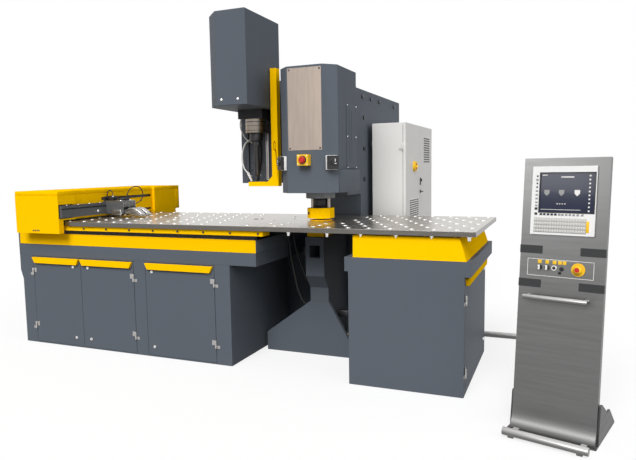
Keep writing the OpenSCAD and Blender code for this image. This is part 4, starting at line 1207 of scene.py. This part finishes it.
@dataclass
class ControlCabinet(Assembly):
    """Control cabinet behind the right table; sizes in millimetres."""

    face: float = 497.0
    front: float = 750.0
    switch_y: float = 1063.0
    switch_z: float = 1495.0
    lock_y: float = 1316.0
    vent_edge: float = 5.0
    slot_share: float = 0.66
    hood_share: float = 0.92

    def dress(self) -> None:
        """Dresses the cabinet's solids."""
        self.coat(LIGHT_GREY, "control_cabinet", "control_door_1", "control_door_2", edge=2.5)
        self.coat(BLUE_GREY, "cabinet_brackets", edge=2.0)
        self.coat(YELLOW_PLASTIC, "main_switch", edge=2.5)

    def build(self) -> None:
        """Builds the vents, the switch's ring, the front seam and the locks."""
        self.vent("upper", Body.CONTROL_DOOR_2, (1470, 1532), (1740, 1780), 2, 11)
        self.vent("lower", Body.CONTROL_DOOR_1, (900, 1040), (1250, 1200), 4, 8)
        face, y = self.face, self.lock_y
        ring = Shape().ring((face, self.switch_y, self.switch_z), RIGHT, 33, 47, 22, 32)
        ring.piece("switch_plate", YELLOW_PLASTIC, Body.CONTROL_DOOR_1)
        seam = Shape().box((471.5, self.front - 0.6, 742), (474.5, self.front + 0.2, 1858))
        seam.piece("cabinet_seam", BLACK_PLASTIC)
        shape = Shape().box((face, y - 14, 1318), (face + 7, y + 14, 1388), 6, 3)
        shape.box((face, y - 12, 1240), (face + 6, y + 12, 1272), 5, 3)
        shape.box((face + 5, y - 4, 1350), (face + 18, y + 4, 1376), 2)
        shape.rod((face + 4, y, 1256), (face + 22, y, 1256), 5)
        shape.box((face + 20, y - 22, 1251), (face + 28, y + 22, 1261), 2.5)
        shape.piece("control_locks", BLACK_PLASTIC, Body.CONTROL_DOOR_2)

    def vent(self, name: str, body: Body, low: Pair, high: Pair, columns: int, rows: int) -> None:
        """Adds a field of vent openings to a door, each a black patch of painted shade for the dark inside of
        a punched opening, under a small hood.

        Args:
            name: upper or lower.
            body: the door that carries it.
            low: its near lower corner.
            high: its far upper corner.
            columns: openings side by side.
            rows: openings above each other.
            rows: slots above each other.
        """
        face = self.face
        wide = (high[0] - low[0]) / columns
        pitch = (high[1] - low[1]) / rows
        slot_shade, hoods = Shape(), Shape()
        for i, k in product(range(columns), range(rows)):
            y0 = low[0] + wide * i + self.vent_edge
            y1 = low[0] + wide * (i + 1) - self.vent_edge
            z = low[1] + pitch * k
            top = z + pitch * self.slot_share
            # black patch on the door face: painted shade for the dark inside of the punched opening
            slot_shade.box((face - 0.5, y0, z + 1), (face + 0.8, y1, top))
            outline = ((face, y0, top), (face + 3, y0, top), (face, y0, z + pitch * self.hood_share))
            hoods.prism(outline, (0, y1 - y0, 0))
        slot_shade.piece(f"vent_slot_shade_{name}", BLACK_PLASTIC, body)
        hoods.piece(f"vent_hoods_{name}", LIGHT_GREY, body)


@dataclass
class Console(Assembly):
    """Operator console on its own foot, with screen, keys and buttons; sizes in millimetres.

    Places on the panel are given across, into and up it.
    """

    spot: Triple = (1521.0, -966.0, 0.0)
    turn: float = 15.1
    lean: float = 5.6
    toe: float = 45.0
    wide: float = 448.0
    high: float = 1531.0
    skin: float = 3.0
    flange: float = 40.0
    toe_high: float = 112.0
    toe_low: float = 10.0
    toe_reach: float = 62.0
    toe_thick: float = 6.0
    toe_steps: int = 24
    bezel_face: float = -14.0
    screen_face: float = -8.0
    key_lift: float = 2.5
    mark_lift: float = 0.4
    button_height: float = 926.0
    stop_u: float = 314.0
    stop_window: float = 17.0
    selectors: Pair = (111.0, 151.0)
    field_low: Pair = (43.0, 877.0)
    field_high: Pair = (393.0, 972.0)
    line_wide: float = 2.5
    shield: tuple[Pair, ...] = ((-14, 15), (14, 15), (14, -4), (0, -18), (-14, -4))

    def panel(self) -> Matrix:
        """Gives the leaning panel's frame: across, into the panel, and up."""
        foot = Matrix.Translation(self.spot) @ Matrix.Rotation(math.radians(-self.turn), 4, "Z")
        lean = Matrix.Rotation(math.radians(-self.lean), 4, "X")
        return foot @ Matrix.Translation((0, self.toe, 0)) @ lean

    def shape(self) -> Shape:
        """Starts a shape in the panel's frame."""
        return Shape(self.panel())

    def dress(self) -> None:
        """Dresses the console's solids."""
        self.coat(CONSOLE_DARK, "console_base", edge=1.5)
        self.coat(SATIN_BAR, "console_bars", edge=1.5)
        self.coat(GREY_PLASTIC, "display_bezel", edge=2.0)
        self.coat(SCREEN, "display_screen")
        self.coat(STRIP_PLASTIC, "console_strips", edge=0.6)
        self.coat(YELLOW_PLASTIC, "stop_disc", edge=1.0)
        self.coat(RED, "console_stop", edge=3.0)
        self.coat(BLACK_PLASTIC, "selector_1", "selector_2", edge=1.5)
        self.coat(SATIN_BAR, "conduit", edge=1.0)

    def build(self) -> None:
        """Builds the panel, the keys, the screen's plain symbols and the button field."""
        self.sheet()
        self.keys()
        self.symbols()
        self.button_field()
        self.button_trim()

    def foot(self, depth: float) -> list[Pair]:
        """Gives the curved foot from its top to its tip, at a depth behind its face."""
        drop = self.toe_high - self.toe_low + depth
        reach = self.toe_reach + depth
        turns = [math.radians(90) * k / self.toe_steps for k in range(self.toe_steps + 1)]
        return [(reach * math.cos(a) - self.toe_reach, self.toe_high - drop * math.sin(a)) for a in turns]

    def sheet(self) -> None:
        """Builds the folded panel sheet with its smoothly curved foot, in place of the faceted solid."""
        shape = self.shape()
        left, right = self.stop_u - self.stop_window, self.stop_u + self.stop_window
        for near, far, top in (
            (0.0, left, self.high), (right, self.wide, self.high),
            (left, right, self.button_height - self.stop_window),
        ):
            outline = [(0.0, top), *self.foot(0.0), *reversed(self.foot(self.toe_thick))]
            outline += [(self.skin, self.toe_high + 8), (self.skin, top)]
            shape.prism([(near, y, z) for y, z in outline], (far - near, 0, 0))
        shape.box((left, 0, self.button_height + self.stop_window), (right, self.skin, self.high))
        for u in (0.0, self.wide - self.skin):
            shape.box((u, self.skin, self.toe_high), (u + self.skin, self.flange, self.high))
        inner = self.wide - self.skin
        shape.box((self.skin, self.skin, self.high - self.skin), (inner, self.flange, self.high))
        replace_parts(shape.piece("console_sheet", CONSOLE_STEEL, crease=30), "console_panel")

    def blocks(
        self, spots: Iterable[Pair], size: Pair, face: float, lift: float, shape: Optional[Shape] = None
    ) -> Shape:
        """Adds small blocks of one size, such as keys.

        Args:
            spots: their middles, across and up the panel.
            size: their width and height.
            face: depth of the surface that they stand on.
            lift: how far they stand out.
            shape: the shape that takes them, or none to start one.
        Returns:
            The shape.
        """
        shape = shape or self.shape()
        wide, high = size
        for u, v in spots:
            low = (u - wide / 2, face - lift, v - high / 2)
            shape.box(low, (u + wide / 2, face + 1, v + high / 2), min(size) * 0.12)
        return shape

    def keys(self) -> None:
        """Adds the key rows and the side keys of the display unit."""
        face, lift = self.bezel_face, self.key_lift
        dark = self.blocks(product((107, 125, 145, 165, 184), (1220,)), (14, 11), face, lift)
        grey = self.blocks(product((205, 221, 241, 260, 280, 300, 323), (1220,)), (13, 11), face, lift)
        for v in (1430, 1390, 1369):
            dark.turned(((5, 0), (5, 2), (4, 3), (0, 3)), (79, face, v), FRONT, 14)
        self.blocks(((79, 1250), (79, 1222)), (16, 13), face, lift, dark)
        self.blocks(product((79,), (1410, 1348, 1327, 1306, 1285, 1267)), (13, 10), face, lift, grey)
        bed = 0.8
        self.blocks([(208, 1160)], (276, 82), face, bed).piece("display_key_bed", KEY_BED)
        columns = [77 + 176 * k / 13 for k in range(14)] + [267, 281, 295, 309, 322, 335]
        pale = self.blocks(product(columns, (1190, 1170, 1150, 1130)), (10, 13), face - bed, lift)
        dark.piece("display_keys_dark", BLACK_PLASTIC)
        grey.piece("display_keys_grey", KEY_GREY)
        pale.piece("display_keys_pale", KEY_PALE)
        self.blocks([(352, 1158)], (16, 62), face, lift).piece("display_key_yellow", YELLOW_PLASTIC)

    def symbols(self) -> None:
        """Adds plain light bars, dots and shield shapes on the screen, and the screen's dark rim."""
        face, lift, front = self.screen_face, self.mark_lift, self.bezel_face - 0.6
        white, grey, rim = self.shape(), self.shape(), self.shape()
        for spot, size in (((237, 1425), (68, 7)), ((117, 1436), (28, 5)), ((205, 1247), (210, 2.5))):
            self.blocks([spot], size, face, lift, white)
        self.blocks(product((189, 202, 216, 229), (1279,)), (7, 5), face, lift, white)
        self.blocks([(352, 1432 - 21 * k) for k in range(10)], (9, 9), face, lift, white)
        for shape, u in ((grey, 131), (grey, 209), (white, 290)):
            shape.prism([(u + du, face + 0.5, 1340 + dv) for du, dv in self.shield], (0, -0.9, 0))
        for u in (93, 381):
            rim.box((u - 2.5, front, 1229), (u + 2.5, face + 1, 1450))
        for v in (1230, 1449):
            rim.box((91, front, v - 2.5), (383, face + 1, v + 2.5))
        rim.piece("screen_rim", BLACK_PLASTIC)
        white.piece("screen_marks_white", WHITE_PLASTIC)
        grey.piece("screen_marks_grey", KEY_GREY)

    def button_field(self) -> None:
        """Adds the outlined field with bare labels and black buttons."""
        (u0, v0), (u1, v1), wide = self.field_low, self.field_high, self.line_wide
        line = self.shape()
        for a, b, c, d in (
            (u0, v0, u1, v0 + wide), (u0, v1 - wide, u1, v1),
            (u0, v0, u0 + wide, v1), (u1 - wide, v0, u1, v1),
        ):
            line.box((a, -0.6, b), (c, 0.5, d))
        line.piece("button_field_line", WHITE_PLASTIC)
        labels = self.blocks(product((109, 150, 189, 217, 241), (957,)), (20, 20), 0.0, 1.0)
        labels.piece("button_labels", YELLOW_PLASTIC)
        buttons = self.shape()
        for u, v, r in ((188, 926, 8.5), (228, 923, 11), (219, 901, 8)):
            profile = ((r, 0), (r, 6), (r - 2, 8), (r - 4, 8), (r - 5, 11), (0, 11))
            buttons.turned(profile, (u, 0, v), FRONT)
        buttons.piece("push_buttons", BLACK_PLASTIC)

    def button_trim(self) -> None:
        """Adds the bright button ring, the selectors' pale levers and the stop button's yellow rim."""
        v = self.button_height
        self.shape().ring((188, 0, v), FRONT, 9, 15, 5).piece("button_ring", CHROME)
        for u, body in zip(self.selectors, (Body.SELECTOR_1, Body.SELECTOR_2)):
            lever = self.shape().box((u - 5.5, -20.0, v - 13), (u + 5.5, -18.0, v + 13), 0.8)
            lever.piece(f"{body.value}_lever", WHITE_PLASTIC, body)
        profile = ((22.0, 15.4), (22.8, 16.0), (13.8, 26.4), (13.0, 26.0), (22.0, 15.4))
        rim = self.shape().turned(profile, (self.stop_u, -6, v), FRONT, 32)
        rim.piece("console_stop_rim", YELLOW_PLASTIC, Body.CONSOLE_BUTTON)


def main() -> None:
    """Builds the studio, then each sub-assembly."""
    logging.basicConfig(level=logging.INFO, format="%(name)s: %(message)s")
    studio = Studio()
    studio.camera()
    assemblies = (
        DrillUnit(), FeedBeam(), PunchFrame(), Table(), LeftStand(), RightStand(), ControlCabinet(),
        Console(),
    )
    for assembly in assemblies:
        LOG.info("building %s", type(assembly).__name__)
        assembly.build()
        assembly.dress()
    studio.light()
    studio.floor()


if __name__ == "__main__":
    main()
